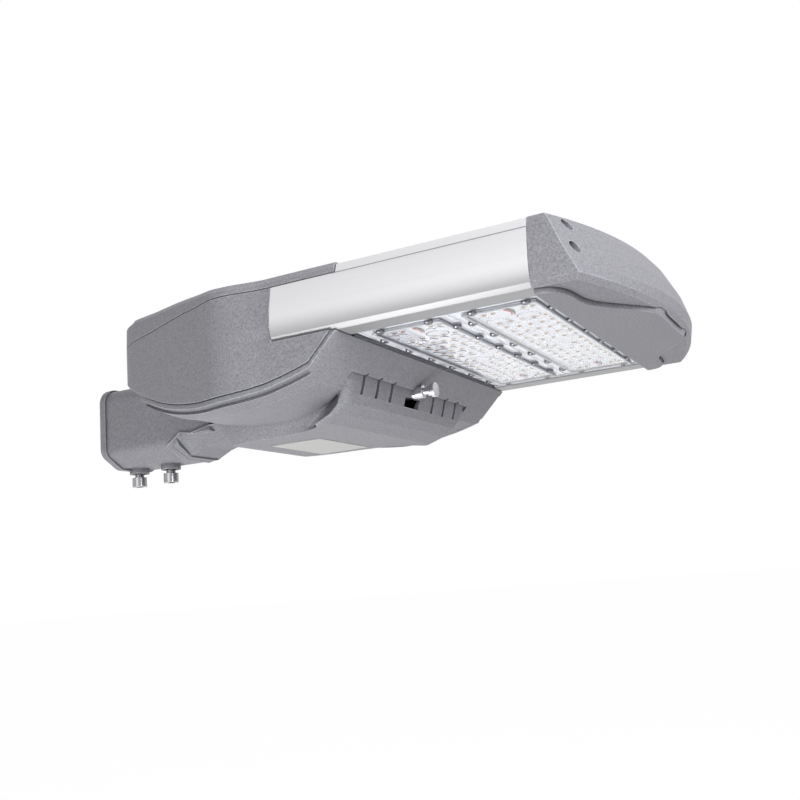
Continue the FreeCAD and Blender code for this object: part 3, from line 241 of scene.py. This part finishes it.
def makeEdgeGroup():
    # softened edges: a normal that rolls over them, a mask along outer edges for a painted highlight and one
    # for deep corners for painted shade
    group, given, out = shaderGroup(
        "softEdge",
        [("Radius", "Float", 0.8 * mm), ("Gain", "Float", 1.6),
         ("Reach", "Float", 5 * mm), ("Least bend", "Float", 0.012)],
        [("Normal", "Vector"), ("Edge", "Float"), ("Depth", "Float")],
    )
    bevel = group.nodes.new("ShaderNodeBevel")
    bevel.samples = edgeValues["bevelSamples"]
    group.links.new(given["Radius"], bevel.inputs["Radius"])
    flat = group.nodes.new("ShaderNodeNewGeometry")
    dot = group.nodes.new("ShaderNodeVectorMath")
    dot.operation = "DOT_PRODUCT"
    group.links.new(bevel.outputs[0], dot.inputs[0])
    group.links.new(flat.outputs["Normal"], dot.inputs[1])
    bend = calc(group, "SUBTRACT", 1, dot.outputs["Value"])
    bend = calc(group, "SUBTRACT", bend, given["Least bend"], True)  # keeps facet seams out
    edge = calc(group, "MULTIPLY", calc(group, "SQRT", bend, 0), given["Gain"], True)
    around = group.nodes.new("ShaderNodeAmbientOcclusion")
    around.samples = edgeValues["openSamples"]
    group.links.new(given["Reach"], around.inputs["Distance"])
    outer = calc(group, "SUBTRACT", around.outputs["AO"], edgeValues["openFrom"])
    outer = calc(group, "MULTIPLY", outer, edgeValues["openGain"], True)
    # mask for the painted highlight, kept to outer edges
    group.links.new(calc(group, "MULTIPLY", edge, outer), out["Edge"])
    # mask for the painted shade in deep corners and creases
    group.links.new(calc(group, "SUBTRACT", 1, around.outputs["AO"]), out["Depth"])
    group.links.new(bevel.outputs[0], out["Normal"])
    return group


def makeDrawGroup():
    # fine lines that the die leaves along an extrusion, with painted shade that darkens its colour towards
    # its lower edge
    group, given, out = shaderGroup(
        "drawLines",
        [("Color", "Color", (0.8, 0.8, 0.8, 1)), ("Line depth", "Float", 0.06), ("Roughness", "Float", 0.3),
         ("Low height", "Float", 0), ("Full height", "Float", 0.01), ("Low shade share", "Float", 1)],
        [("Color", "Color"), ("Roughness", "Float"), ("Height", "Float")],
    )
    lines = noise(group, 1, drawValues["detail"], drawValues["stretch"])
    swing = fromMiddle(group, lines)
    factor = calc(group, "ADD", calc(group, "MULTIPLY", swing, given["Line depth"]), 1)
    # painted shade: colour darkened towards the lower edge, standing in for the darker ground it reflects
    split = group.nodes.new("ShaderNodeSeparateXYZ")
    group.links.new(group.nodes.new("ShaderNodeTexCoord").outputs["Object"], split.inputs[0])
    shadeRamp = group.nodes.new("ShaderNodeMapRange")
    shadeRamp.interpolation_type = "SMOOTHSTEP"
    for label, source in (("Value", split.outputs["Z"]), ("From Min", given["Low height"]),
                          ("From Max", given["Full height"]), ("To Min", given["Low shade share"])):
        group.links.new(source, shadeRamp.inputs[label])
    factor = calc(group, "MULTIPLY", factor, shadeRamp.outputs[0])
    group.links.new(scaled(group, given["Color"], factor), out["Color"])
    rough = calc(group, "MULTIPLY", swing, drawValues["roughnessSwing"])
    group.links.new(calc(group, "ADD", rough, given["Roughness"], True), out["Roughness"])
    group.links.new(lines, out["Height"])
    return group


groups = {"grain": makeGrainGroup(), "edge": makeEdgeGroup(), "draw": makeDrawGroup()}


# Finishes

coats = {
    "castPaint": {"color": tone(0.62, 0.62, 0.645), "grain": 760, "speckle": 1.1, "drift": 0.06,
                  "roughness": 0.58, "swing": 0.25, "metallic": 0.1, "edge": 1.1, "paintedHighlight": 1.3,
                  "bump": 0.5, "depth": 0.08, "shade": 0.6, "mirror": 0.25},
    "railGroove": {"color": tone(0.6, 0.6, 0.62), "grain": 900, "roughness": 0.5, "edge": 0.1},
    "boardWhite": {"color": tone(0.85, 0.86, 0.88), "grain": 500, "speckle": 0.05, "drift": 0.02,
                   "roughness": 0.5, "edge": 0.1},
    "sealWhite": {"color": tone(0.88, 0.89, 0.91), "grain": 900, "speckle": 0.06, "drift": 0.04,
                  "roughness": 0.6, "edge": 0.2},
    "stainless": {"color": tone(0.86, 0.86, 0.87), "grain": 900, "speckle": 0.08,
                  "roughness": 0.2, "swing": 0.12, "metallic": 1, "edge": 0.4, "paintedHighlight": 0,
                  "bump": 0.05, "depth": 0.02},
    # painted reflection: a darker tone than the stainless, standing in for the dark surroundings that bright
    # bolts reflect
    "boltSteel": {"color": tone(0.62, 0.62, 0.63), "grain": 900, "drift": 0.06,
                  "roughness": 0.22, "swing": 0.12, "metallic": 1, "edge": 0.3, "paintedHighlight": 0.5,
                  "bump": 0.05, "depth": 0.02, "shade": 0.9},
    "zincSheet": {"color": tone(0.74, 0.75, 0.77), "grain": 160, "speckle": 0.18, "drift": 0.1,
                  "roughness": 0.4, "swing": 0.2, "metallic": 0.85, "edge": 0.3, "paintedHighlight": 0,
                  "bump": 0.05, "depth": 0.02},
    # painted shade: a darker tone than bright zinc, standing in for the shade on the lens screw heads
    "screwZinc": {"color": tone(0.52, 0.52, 0.54), "grain": 900, "roughness": 0.28, "swing": 0.12,
                  "metallic": 1, "edge": 0.3, "paintedHighlight": 0.2, "bump": 0.05, "depth": 0.02},
    "driverCase": {"color": tone(0.24, 0.25, 0.27), "grain": 900, "speckle": 0.15},
    "gearPlastic": {"color": tone(0.80, 0.80, 0.77), "grain": 700, "speckle": 0.06, "drift": 0.03,
                    "roughness": 0.4, "edge": 0.5},
    "glandPlastic": {"color": tone(0.16, 0.16, 0.17), "grain": 700, "drift": 0.03,
                     "roughness": 0.5, "edge": 0.4},
    "chipWhite": {"color": tone(0.88, 0.87, 0.83), "grain": 1500, "speckle": 0.04, "drift": 0.02,
                  "roughness": 0.4, "edge": 0.1},
    "phosphor": {"color": tone(0.52, 0.35, 0.13), "grain": 3000, "speckle": 0.25, "drift": 0.02,
                 "roughness": 0.4, "edge": 0.05},
    "labelFoil": {"color": tone(0.80, 0.80, 0.79), "grain": 250, "speckle": 0.05, "drift": 0.04,
                  "edge": 0.2},
    "redWire": {"color": tone(0.80, 0.22, 0.25), "grain": 1500, "drift": 0.02, "edge": 0.1},
    "blackWire": {"color": tone(0.13, 0.13, 0.14), "grain": 1500, "drift": 0.02, "edge": 0.1},
}

extrusions = {
    "railSatin": {"metallic": 0.4, "lines": {
        "Color": tone(0.9, 0.9, 0.91), "Roughness": 0.42, "Line depth": 0.07,
        # painted shade on the rails below the full height
        "Low height": 13 * mm, "Full height": 29 * mm, "Low shade share": 0.55}},
    "millSink": {"metallic": 0.9, "lines": {
        "Color": tone(0.80, 0.80, 0.81), "Roughness": 0.38, "Line depth": 0.12}},
}
drawn = {"edge": 0.5, "bump": 0.1, "depth": 0.02}

lenses = {
    "clearLens": {"bending": 1.25, "haze": 0.04},
    "clearOptic": {"bending": 1.03, "haze": 0.02},
}
clear = {"tint": (0.99, 0.99, 1, 1), "shadowTint": (0.98, 0.98, 1, 1), "cloudsPerMetre": 300, "detail": 2}


def newFinish(name):
    material = bpy.data.materials.new(name)
    material.use_nodes = True
    tree = material.node_tree
    return material, tree, tree.nodes["Principled BSDF"].inputs


def useGroup(tree, group, values):
    node = tree.nodes.new("ShaderNodeGroup")
    node.node_tree = groups[group]
    for label, value in values.items():
        node.inputs[label].default_value = value
    return node.outputs


def bumped(tree, height, normal, strength, depth):
    bump = tree.nodes.new("ShaderNodeBump")
    bump.inputs["Strength"].default_value = strength
    bump.inputs["Distance"].default_value = depth * mm
    tree.links.new(height, bump.inputs["Height"])
    tree.links.new(normal, bump.inputs["Normal"])
    return bump.outputs[0]


def coatedFinish(name, color, grain, speckle=0.1, drift=0.05, roughness=0.45, swing=0.15, metallic=0,
                 edge=0.8, paintedHighlight=0.12, bump=0.25, depth=0.05, shade=0, mirror=0.5):
    # painted, cast or moulded surface with speckle and softened edges, a painted highlight along outer edges
    # and painted shade in deep corners
    material, tree, shader = newFinish(name)
    coat = useGroup(tree, "grain", {
        "Color": color, "Grain per metre": grain, "Speckle": speckle, "Drift": drift,
        "Roughness": roughness, "Roughness swing": swing})
    soft = useGroup(tree, "edge", {"Radius": edge * mm})
    # painted highlight: outer edges made lighter by the edge mask
    paintedLight = calc(tree, "ADD", calc(tree, "MULTIPLY", soft["Edge"], paintedHighlight), 1)
    # painted shade: deep corners and creases made darker by the depth mask
    paintedLight = calc(tree, "SUBTRACT", paintedLight, calc(tree, "MULTIPLY", soft["Depth"], shade))
    tree.links.new(scaled(tree, coat["Color"], paintedLight), shader["Base Color"])
    tree.links.new(coat["Roughness"], shader["Roughness"])
    shader["Metallic"].default_value = metallic
    shader["Specular IOR Level"].default_value = mirror
    tree.links.new(bumped(tree, coat["Height"], soft["Normal"], bump, depth), shader["Normal"])
    return material


def drawnFinish(name, metallic, lines):
    # extruded aluminium with lines along the head
    material, tree, shader = newFinish(name)
    lined = useGroup(tree, "draw", lines)
    soft = useGroup(tree, "edge", {"Radius": drawn["edge"] * mm})
    tree.links.new(lined["Color"], shader["Base Color"])
    tree.links.new(lined["Roughness"], shader["Roughness"])
    shader["Metallic"].default_value = metallic
    normal = bumped(tree, lined["Height"], soft["Normal"], drawn["bump"], drawn["depth"])
    tree.links.new(normal, shader["Normal"])
    return material


def lensFinish(name, bending, haze):
    # clear moulded plastic that lets the lamps reach what is behind it
    material, tree, shader = newFinish(name)
    shader["Base Color"].default_value = clear["tint"]
    shader["Transmission Weight"].default_value = 1
    shader["IOR"].default_value = bending
    cloud = calc(tree, "MULTIPLY", noise(tree, clear["cloudsPerMetre"], clear["detail"]), haze)
    tree.links.new(cloud, shader["Roughness"])
    path = tree.nodes.new("ShaderNodeLightPath")
    through = tree.nodes.new("ShaderNodeBsdfTransparent")
    through.inputs["Color"].default_value = clear["shadowTint"]
    mix = tree.nodes.new("ShaderNodeMixShader")
    tree.links.new(path.outputs["Is Shadow Ray"], mix.inputs[0])
    tree.links.new(tree.nodes["Principled BSDF"].outputs[0], mix.inputs[1])
    tree.links.new(through.outputs[0], mix.inputs[2])
    tree.links.new(mix.outputs[0], tree.nodes["Material Output"].inputs["Surface"])
    return material


finishes = {name: coatedFinish(name, **coat) for name, coat in coats.items()}
finishes.update({name: drawnFinish(name, **bar) for name, bar in extrusions.items()})
finishes.update({name: lensFinish(name, **lens) for name, lens in lenses.items()})

dressed = {
    "castPaint": ["pole_sleeve", "sleeve_saddle", "housing", "top_cover", "end_cap", "driver_door"],
    "railSatin": ["side_rail_left", "side_rail_right"],
    "millSink": ["module_heatsink_rear", "module_heatsink_front"],
    "boardWhite": ["led_board_rear", "led_board_front"],
    "sealWhite": ["lens_gasket_rear", "lens_gasket_front"],
    "clearLens": ["lens_plate_rear", "lens_plate_front"],
    "stainless": ["hinge_pins", "latch_barrel", "latch_knob"],
    "boltSteel": ["clamp_bolts", "sleeve_bolts", "end_cap_screws"],
    "zincSheet": ["gear_tray", "striker_plate"],
    "driverCase": ["led_driver"],
    "gearPlastic": ["surge_protector", "terminal_block"],
    "glandPlastic": ["cable_gland"],
}
for finish, names in dressed.items():
    for name in names:
        cadNodes[name].data.materials.clear()
        cadNodes[name].data.materials.append(finishes[finish])
print("finishes:", len(finishes), "on", sum(len(names) for names in dressed.values()), "nodes")


# Geometry node trees

headTree = {"socketTaper": 0.96, "mergeWithin": 0.002}


def geometryTree(name, inputs):
    tree = bpy.data.node_groups.new(name, "GeometryNodeTree")
    tree.interface.new_socket("Geometry", in_out="INPUT", socket_type="NodeSocketGeometry")
    for label, kind, value in inputs:
        socket = tree.interface.new_socket(label, in_out="INPUT", socket_type="NodeSocket" + kind)
        if value is not None:
            socket.default_value = value
    tree.interface.new_socket("Geometry", in_out="OUTPUT", socket_type="NodeSocketGeometry")
    return tree, tree.nodes.new("NodeGroupInput").outputs, tree.nodes.new("NodeGroupOutput").inputs


def put(tree, kind, links, **settings):
    node = tree.nodes.new(kind)
    for label, value in settings.items():
        setattr(node, label, value)
    for label, value in links.items():
        socket = node.inputs[label]
        if isinstance(value, bpy.types.NodeSocket):
            tree.links.new(value, socket)
        else:
            socket.default_value = value
    return node


def close(tree, given, out, shape):
    # made real and given its finish
    real = put(tree, "GeometryNodeRealizeInstances", {"Geometry": shape})
    coated = put(tree, "GeometryNodeSetMaterial", {"Geometry": real.outputs[0], "Material": given["Finish"]})
    tree.links.new(coated.outputs[0], out["Geometry"])


def scatter(tree, given, out, shape):
    # a copy of shape on every point, facing as asked
    copies = put(tree, "GeometryNodeInstanceOnPoints",
                 {"Points": given["Geometry"], "Instance": shape, "Rotation": given["Facing"]})
    close(tree, given, out, copies.outputs[0])


def makeHeadTree():
    # turned head: flank, crown, rim and a sunk socket
    tree, given, out = geometryTree("turnedHead", [
        ("Radius", "Float", 3 * mm), ("Flank", "Float", 1.2 * mm), ("Crown", "Float", 0.6 * mm),
        ("Crown share", "Float", 0.8), ("Socket share", "Float", 0.45), ("Socket depth", "Float", 1 * mm),
        ("Sides", "Int", 18), ("Facing", "Vector", (math.pi, 0, 0)), ("Finish", "Material", None),
    ])
    disc = put(tree, "GeometryNodeMeshCircle",
               {"Vertices": given["Sides"], "Radius": given["Radius"]}, fill_type="NGON")
    shape, top = disc.outputs[0], None
    steps = [(given["Flank"], 1), (given["Crown"], given["Crown share"]), (0, given["Socket share"]),
             (calc(tree, "MULTIPLY", given["Socket depth"], -1), headTree["socketTaper"])]
    for rise, share in steps:
        links = {"Mesh": shape, "Offset Scale": rise, "Individual": False}
        if top is not None:
            links["Selection"] = top
        pulled = put(tree, "GeometryNodeExtrudeMesh", links)
        shape, top = pulled.outputs["Mesh"], pulled.outputs["Top"]
        if share != 1:
            drawnIn = put(tree, "GeometryNodeScaleElements",
                          {"Geometry": shape, "Selection": top, "Scale": share})
            shape = drawnIn.outputs[0]
    under = put(tree, "GeometryNodeFlipFaces", {"Mesh": disc.outputs[0]})
    both = tree.nodes.new("GeometryNodeJoinGeometry")
    tree.links.new(shape, both.inputs[0])
    tree.links.new(under.outputs[0], both.inputs[0])
    closed = put(tree, "GeometryNodeMergeByDistance",
                 {"Geometry": both.outputs[0], "Distance": headTree["mergeWithin"] * mm})
    scatter(tree, given, out, closed.outputs[0])
    return tree


def makeDomeTree():
    # low dome on a flat base, longer one way
    tree, given, out = geometryTree("lowDome", [
        ("Radius", "Float", 4 * mm), ("Height", "Float", 2 * mm), ("Stretch", "Float", 1),
        ("Sides", "Int", 16), ("Rings", "Int", 4),
        ("Facing", "Vector", (math.pi, 0, 0)), ("Finish", "Material", None),
    ])
    cone = put(tree, "GeometryNodeMeshCone",
               {"Vertices": given["Sides"], "Side Segments": given["Rings"], "Radius Top": 0,
                "Radius Bottom": given["Radius"], "Depth": given["Height"]}, fill_type="NGON")
    position = tree.nodes.new("GeometryNodeInputPosition")
    split = put(tree, "ShaderNodeSeparateXYZ", {"Vector": position.outputs[0]})
    left = calc(tree, "SUBTRACT", 1, calc(tree, "DIVIDE", split.outputs["Z"], given["Height"]))
    bulge = calc(tree, "SUBTRACT", 1, calc(tree, "MULTIPLY", left, left))
    bulge = calc(tree, "SQRT", calc(tree, "MAXIMUM", bulge, 0), 0)
    spot = put(tree, "ShaderNodeCombineXYZ", {
        "X": split.outputs["X"],
        "Y": calc(tree, "MULTIPLY", split.outputs["Y"], given["Stretch"]),
        "Z": calc(tree, "MULTIPLY", bulge, given["Height"])})
    dome = put(tree, "GeometryNodeSetPosition", {"Geometry": cone.outputs[0], "Position": spot.outputs[0]})
    smooth = put(tree, "GeometryNodeSetShadeSmooth",
                 {"Geometry": dome.outputs[0], "Selection": cone.outputs["Side"]})
    scatter(tree, given, out, smooth.outputs[0])
    return tree


def makeBeadTree():
    # round bead, lead or rim laid along lines
    tree, given, out = geometryTree("roundBead", [
        ("Radius", "Float", 1 * mm), ("Sides", "Int", 8), ("Finish", "Material", None),
    ])
    line = put(tree, "GeometryNodeMeshToCurve", {"Mesh": given["Geometry"]})
    section = put(tree, "GeometryNodeCurvePrimitiveCircle",
                  {"Resolution": given["Sides"], "Radius": given["Radius"]})
    bead = put(tree, "GeometryNodeCurveToMesh",
               {"Curve": line.outputs[0], "Profile Curve": section.outputs[0], "Fill Caps": True})
    smooth = put(tree, "GeometryNodeSetShadeSmooth", {"Geometry": bead.outputs[0]})
    close(tree, given, out, smooth.outputs[0])
    return tree


trees = {"head": makeHeadTree(), "dome": makeDomeTree(), "bead": makeBeadTree()}


def newPiece(name, points, edges, faces):
    # points in millimetres
    mesh = bpy.data.meshes.new(name)
    mesh.from_pydata([tuple(c * mm for c in point) for point in points], edges, faces)
    piece = bpy.data.objects.new(name, mesh)
    scene.collection.objects.link(piece)
    return piece


def settle(piece, body):
    # the tree's result as a plain mesh
    solid = bpy.data.meshes.new_from_object(piece.evaluated_get(bpy.context.evaluated_depsgraph_get()))
    piece.modifiers.clear()
    piece.data = solid
    solid.name = piece.name
    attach(piece, body)


def field(name, tree, points, finish, body, sizes, edges=()):
    # one shape repeated on points, or laid along edges between them
    piece = newPiece(name, points, edges, [])
    modifier = piece.modifiers.new("copies", "NODES")
    modifier.node_group = trees[tree]
    items = trees[tree].interface.items_tree
    sockets = {item.name: item.identifier for item in items if item.in_out == "INPUT"}
    for label, value in sizes.items():
        modifier[sockets[label]] = value
    modifier[sockets["Finish"]] = finishes[finish]
    settle(piece, body)


def beads(name, lines, finish, body, radius, sides=8):
    # one piece of several round lines, each a list of points
    points = [point for line in lines for point in line]
    edges = []
    for line in lines:
        start = edges[-1][1] + 1 if edges else 0
        edges += [(start + k, start + k + 1) for k in range(len(line) - 1)]
    field(name, "bead", points, finish, body, {"Radius": radius * mm, "Sides": sides}, edges)


def sideLines(run):
    # a straight line along each side of the head
    return [[(run[end], side * run["across"], run["height"]) for end in ("from", "to")] for side in bothSides]


# LED modules: chips on the boards, optics and screws on the lens plates

module = {
    "middles": (338.0, 402.2),  # the two modules along the head
    "face": 10.7,
    "flange": 12.3,
    "board": 15.1,
    "rows": (-14.4, -6.4, 1.6, 9.6, 17.6),
    "outerPitch": 12.8,
    "outerCount": 13,
    "innerAcross": (13, 29, 45, 61, 77),
    "endAcross": 103,
    "endAlong": (-14.7, -8.7, 11.8, 17.8),
}

packageHigh = 0.6
packages = {
    "Radius": 2.3 * mm, "Flank": packageHigh * mm, "Crown": 0.1 * mm, "Crown share": 0.92,
    "Socket share": 0.8, "Socket depth": 0.15 * mm, "Sides": 4, "Facing": (math.pi, 0, math.radians(45)),
}
phosphors = {"Radius": 1.9 * mm, "Height": 0.5 * mm, "Sides": 10, "Rings": 3}
phosphorSunk = 0.05
optics = {"Radius": 3.2 * mm, "Height": 0.5 * mm, "Stretch": 1.15, "Sides": 16, "Rings": 4}
opticClear = 0.02  # off the plate, so that no two faces lie in one plane

lensScrews = {"rows": (311.0, 364.8, 375.8, 430.2), "across": (18.85, 56.6, 94.3),
              "endRows": (320, 355, 385, 420.6), "endAcross": 117.5}
lensScrewHead = {
    "Radius": 3.1 * mm, "Flank": 1.3 * mm, "Crown": 0.7 * mm, "Crown share": 0.8,
    "Socket share": 0.5, "Socket depth": 1.1 * mm, "Sides": 18,
}


def chipPlaces(height):
    rows, inner = module["rows"], module["innerAcross"]
    half = (module["outerCount"] - 1) / 2
    outerRow = [(k - half) * module["outerPitch"] for k in range(module["outerCount"])]
    innerRow = [side * y for y in inner for side in bothSides]
    middleRow = [y for y in innerRow if y != inner[0]]  # room for the middle boss
    across = [outerRow, innerRow, middleRow, innerRow, outerRow]
    places = []
    for middle in module["middles"]:
        places += [(middle + x, y, height) for x, row in zip(rows, across) for y in row]
        places += [(middle + x, side * module["endAcross"], height)
                   for x in module["endAlong"] for side in bothSides]
    return places


def screwPlaces():
    long = [(x, y) for x in lensScrews["rows"] for y in lensScrews["across"]]
    short = [(x, lensScrews["endAcross"]) for x in lensScrews["endRows"]]
    return [(x, side * y, module["flange"]) for x, y in long + short for side in bothSides]


phosphorHeight = module["board"] - packageHigh + phosphorSunk
field("led_packages", "head", chipPlaces(module["board"]), "chipWhite", "head", packages)
field("led_phosphors", "dome", chipPlaces(phosphorHeight), "phosphor", "head", phosphors)
field("lens_optics", "dome", chipPlaces(module["face"] - opticClear), "clearOptic", "head", optics)
field("lens_screws", "head", screwPlaces(), "screwZinc", "head", lensScrewHead)
print("modules:", len(chipPlaces(0)), "chips and optics,", len(screwPlaces()), "lens screws")


# Seals round the lens plates, moulded rims on them and the leads under them

seal = {"across": 125.05, "height": 13.4, "from": 303.8, "to": 434.2, "radius": 1.45, "sides": 12}
frames = {"along": 24.2, "across": 116, "height": 11.5, "radius": 0.9, "sides": 10}
rims = {
    "along": 10.6, "across": 90, "radius": 7.5, "middleAcross": 5, "middleRadius": 9.5,
    "bead": 0.45, "proud": 0.4,  # share of the bead's radius that its middle stands off the plate
    "sides": 6, "steps": 28,
}
leads = {"along": 1.4, "across": 100, "apart": 1.9, "reach": 7, "sway": 1.6, "radius": 0.6, "steps": 10}


def frameLines():
    edges = (((-1, -1), (1, -1)), ((-1, 1), (1, 1)), ((-1, -1), (-1, 1)), ((1, -1), (1, 1)))
    return [[(middle + a * frames["along"], b * frames["across"], frames["height"]) for a, b in edge]
            for middle in module["middles"] for edge in edges]


def rimLines():
    places = []
    for middle in module["middles"]:
        places += [(middle + a * rims["along"], b * rims["across"], rims["radius"])
                   for a in bothSides for b in bothSides]
        places.append((middle, rims["middleAcross"], rims["middleRadius"]))
    turns = [2 * math.pi * k / rims["steps"] for k in range(rims["steps"] + 1)]
    height = module["face"] - rims["proud"] * rims["bead"]
    return [[(x + r * math.cos(a), y + r * math.sin(a), height) for a in turns] for x, y, r in places]


def leadLines(shift):
    # bowed leads, one at each end of both boards
    lines = []
    height = module["board"] - leads["radius"]
    for middle in module["middles"]:
        for side in bothSides:
            line = []
            for step in range(leads["steps"] + 1):
                share = 2 * step / leads["steps"] - 1
                sway = leads["sway"] * math.cos(share * math.pi / 2)
                line.append((middle + leads["along"] + shift + sway,
                             side * leads["across"] + share * leads["reach"], height))
            lines.append(line)
    return lines


beads("rail_seals", sideLines(seal), "sealWhite", "head", seal["radius"], seal["sides"])
beads("lens_frames", frameLines(), "sealWhite", "head", frames["radius"], frames["sides"])
beads("lens_rims", rimLines(), "clearLens", "head", rims["bead"], rims["sides"])
beads("plus_leads", leadLines(-leads["apart"] / 2), "redWire", "head", leads["radius"])
beads("minus_leads", leadLines(leads["apart"] / 2), "blackWire", "head", leads["radius"])
print("panel: seals, frames, rims and leads")


# Fine joint line along the upper edge of each rail

railLine = {"from": 301, "to": 434.2, "across": 143.72, "height": 49, "radius": 0.32}

beads("rail_lines", sideLines(railLine), "railGroove", "head", railLine["radius"])
print("rails: joint lines")


# Leads between the gear: gland to driver, driver to terminal block

gear = {
    "glandEnd": 155.5, "glandHeight": 16, "glandApart": 2,
    "driverRear": 172.3, "driverFront": 233.7, "driverHeight": 17, "driverApart": 9,
    "blockRear": 248, "blockHeight": 29, "blockShift": 8,
    "ways": (36.5, 47, 57.5), "radius": 1.3, "sides": 10, "steps": 10,
}


def gearLead(start, end):
    # straight ahead, with an eased swing sideways and upwards
    line = []
    for step in range(gear["steps"] + 1):
        share = step / gear["steps"]
        ease = share * share * (3 - 2 * share)
        swing = tuple(a + ease * (b - a) for a, b in zip(start[1:], end[1:]))
        line.append((start[0] + share * (end[0] - start[0]),) + swing)
    return line


def wayLead(across):
    return gearLead((gear["driverFront"], across - gear["blockShift"], gear["driverHeight"]),
                    (gear["blockRear"], across, gear["blockHeight"]))


def glandLead(side):
    return gearLead((gear["glandEnd"], side * gear["glandApart"], gear["glandHeight"]),
                    (gear["driverRear"], side * gear["driverApart"], gear["driverHeight"]))


wayLeads = [wayLead(across) for across in gear["ways"]]
beads("dark_leads", wayLeads[:2] + [glandLead(-1)], "blackWire", "head",
      gear["radius"], gear["sides"])
beads("red_leads", wayLeads[2:] + [glandLead(1)], "redWire", "head",
      gear["radius"], gear["sides"])
print("gear: leads")


# Outer skin of the driver box where its sides swing out to the vented front. The solid has a slit there,
# and this skin closes it.

cheeks = {
    "rear": (150, 131), "front": (255, 285.2),
    "tail": (53.5, 66), "waist": (60, 86), "flare": (65.5, 96), "nose": (88, 100),
    "tailIn": 2.5, "waistShare": 0.45, "flareBack": 27, "noseBack": 7,  # where those stand along the side
    "bottom": -36, "top": -5,
    "levels": ((0, 0), (0.16, 0.44), (0.355, 0.735), (0.56, 0.87)),  # shares of height and of the front's run
    "from": 0.52, "to": 0.99, "steps": 28, "probe": 0.1, "skin": 0.06, "thick": 1.2,
}


def between(pair, share):
    return pair[0] + share * (pair[1] - pair[0])


def cheekLine(share, ahead):
    # points along one side, from the swing outwards, with the way that points out of the box
    rear, front = between(cheeks["rear"], share), between(cheeks["front"], ahead)
    tail, waist, flare, nose = [between(cheeks[part], share) for part in ("tail", "waist", "flare", "nose")]
    knots = [(rear + cheeks["tailIn"], tail), (rear + cheeks["waistShare"] * (front - rear), waist),
             (front - cheeks["flareBack"], flare), (front - cheeks["noseBack"], nose)]
    spans = [0]
    for a, b in zip(knots, knots[1:]):
        spans.append(spans[-1] + math.dist(a, b))

    def spot(at):
        # the one cubic through all four knots
        weights = []
        for own in spans:
            weights.append(math.prod((at - other) / (own - other) for other in spans if other != own))
        return Vector([sum(w * knot[axis] for w, knot in zip(weights, knots)) for axis in (0, 1)])

    line = []
    for step in range(cheeks["steps"] + 1):
        at = spans[-1] * between((cheeks["from"], cheeks["to"]), step / cheeks["steps"])
        along = (spot(at + cheeks["probe"]) - spot(at - cheeks["probe"])).normalized()
        line.append((spot(at), Vector((-along.y, along.x))))
    return line


def makeCheeks():
    points, faces = [], []
    count, rows = cheeks["steps"] + 1, len(cheeks["levels"])
    layer = count * rows
    for side in bothSides:
        start = len(points)
        for depth in (cheeks["skin"], cheeks["skin"] + cheeks["thick"]):
            for share, ahead in cheeks["levels"]:
                height = between((cheeks["bottom"], cheeks["top"]), share) + (depth if share == 0 else 0)
                for spot, outward in cheekLine(share, ahead):
                    inside = spot - depth * outward
                    points.append((inside.x, side * inside.y, height))
        quads = []
        for row in range(rows - 1):
            for k in range(count - 1):
                a = start + row * count + k
                quads.append((a, a + 1, a + count + 1, a + count))
                quads.append((a + layer + count, a + layer + count + 1, a + layer + 1, a + layer))
        # closed all round between the two layers
        rim = [start + k for k in range(count)]
        rim += [start + row * count + count - 1 for row in range(1, rows)]
        rim += [start + layer - 1 - k for k in range(1, count)]
        rim += [start + row * count for row in range(rows - 2, 0, -1)]
        quads += [(a, a + layer, b + layer, b) for a, b in zip(rim, rim[1:] + rim[:1])]
        faces += [quad[::-1] for quad in quads] if side < 0 else quads
    piece = newPiece("box_cheeks", points, [], faces)
    piece.data.polygons.foreach_set("use_smooth", [True] * len(faces))
    piece.data.materials.append(finishes["castPaint"])
    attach(piece, "door")


makeCheeks()


# Bare rating plate under the driver door

plate = {
    "middle": (192, 10.5), "long": 45.5, "wide": 77, "thick": 0.35, "sunk": 0.05,
    "corner": 2, "steps": 5, "face": -36.0,
}


def makePlate():
    (x, y), corner = plate["middle"], plate["corner"]
    outline = []
    for turn, (alongSide, acrossSide) in enumerate(((1, 1), (-1, 1), (-1, -1), (1, -1))):
        for step in range(plate["steps"] + 1):
            angle = math.radians(90 * (turn + step / plate["steps"]))
            outline.append((x + alongSide * (plate["long"] / 2 - corner) + corner * math.cos(angle),
                            y + acrossSide * (plate["wide"] / 2 - corner) + corner * math.sin(angle)))
    count = len(outline)
    levels = (plate["face"] + plate["sunk"], plate["face"] - plate["thick"])
    points = [(px, py, z) for z in levels for px, py in outline]
    faces = [tuple(range(count)), tuple(reversed(range(count, 2 * count)))]
    faces += [(k, count + k, count + (k + 1) % count, (k + 1) % count) for k in range(count)]
    piece = newPiece("rating_plate", points, [], faces)
    piece.data.materials.append(finishes["labelFoil"])
    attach(piece, "door")


makePlate()
print("door: box cheeks and a bare rating plate")
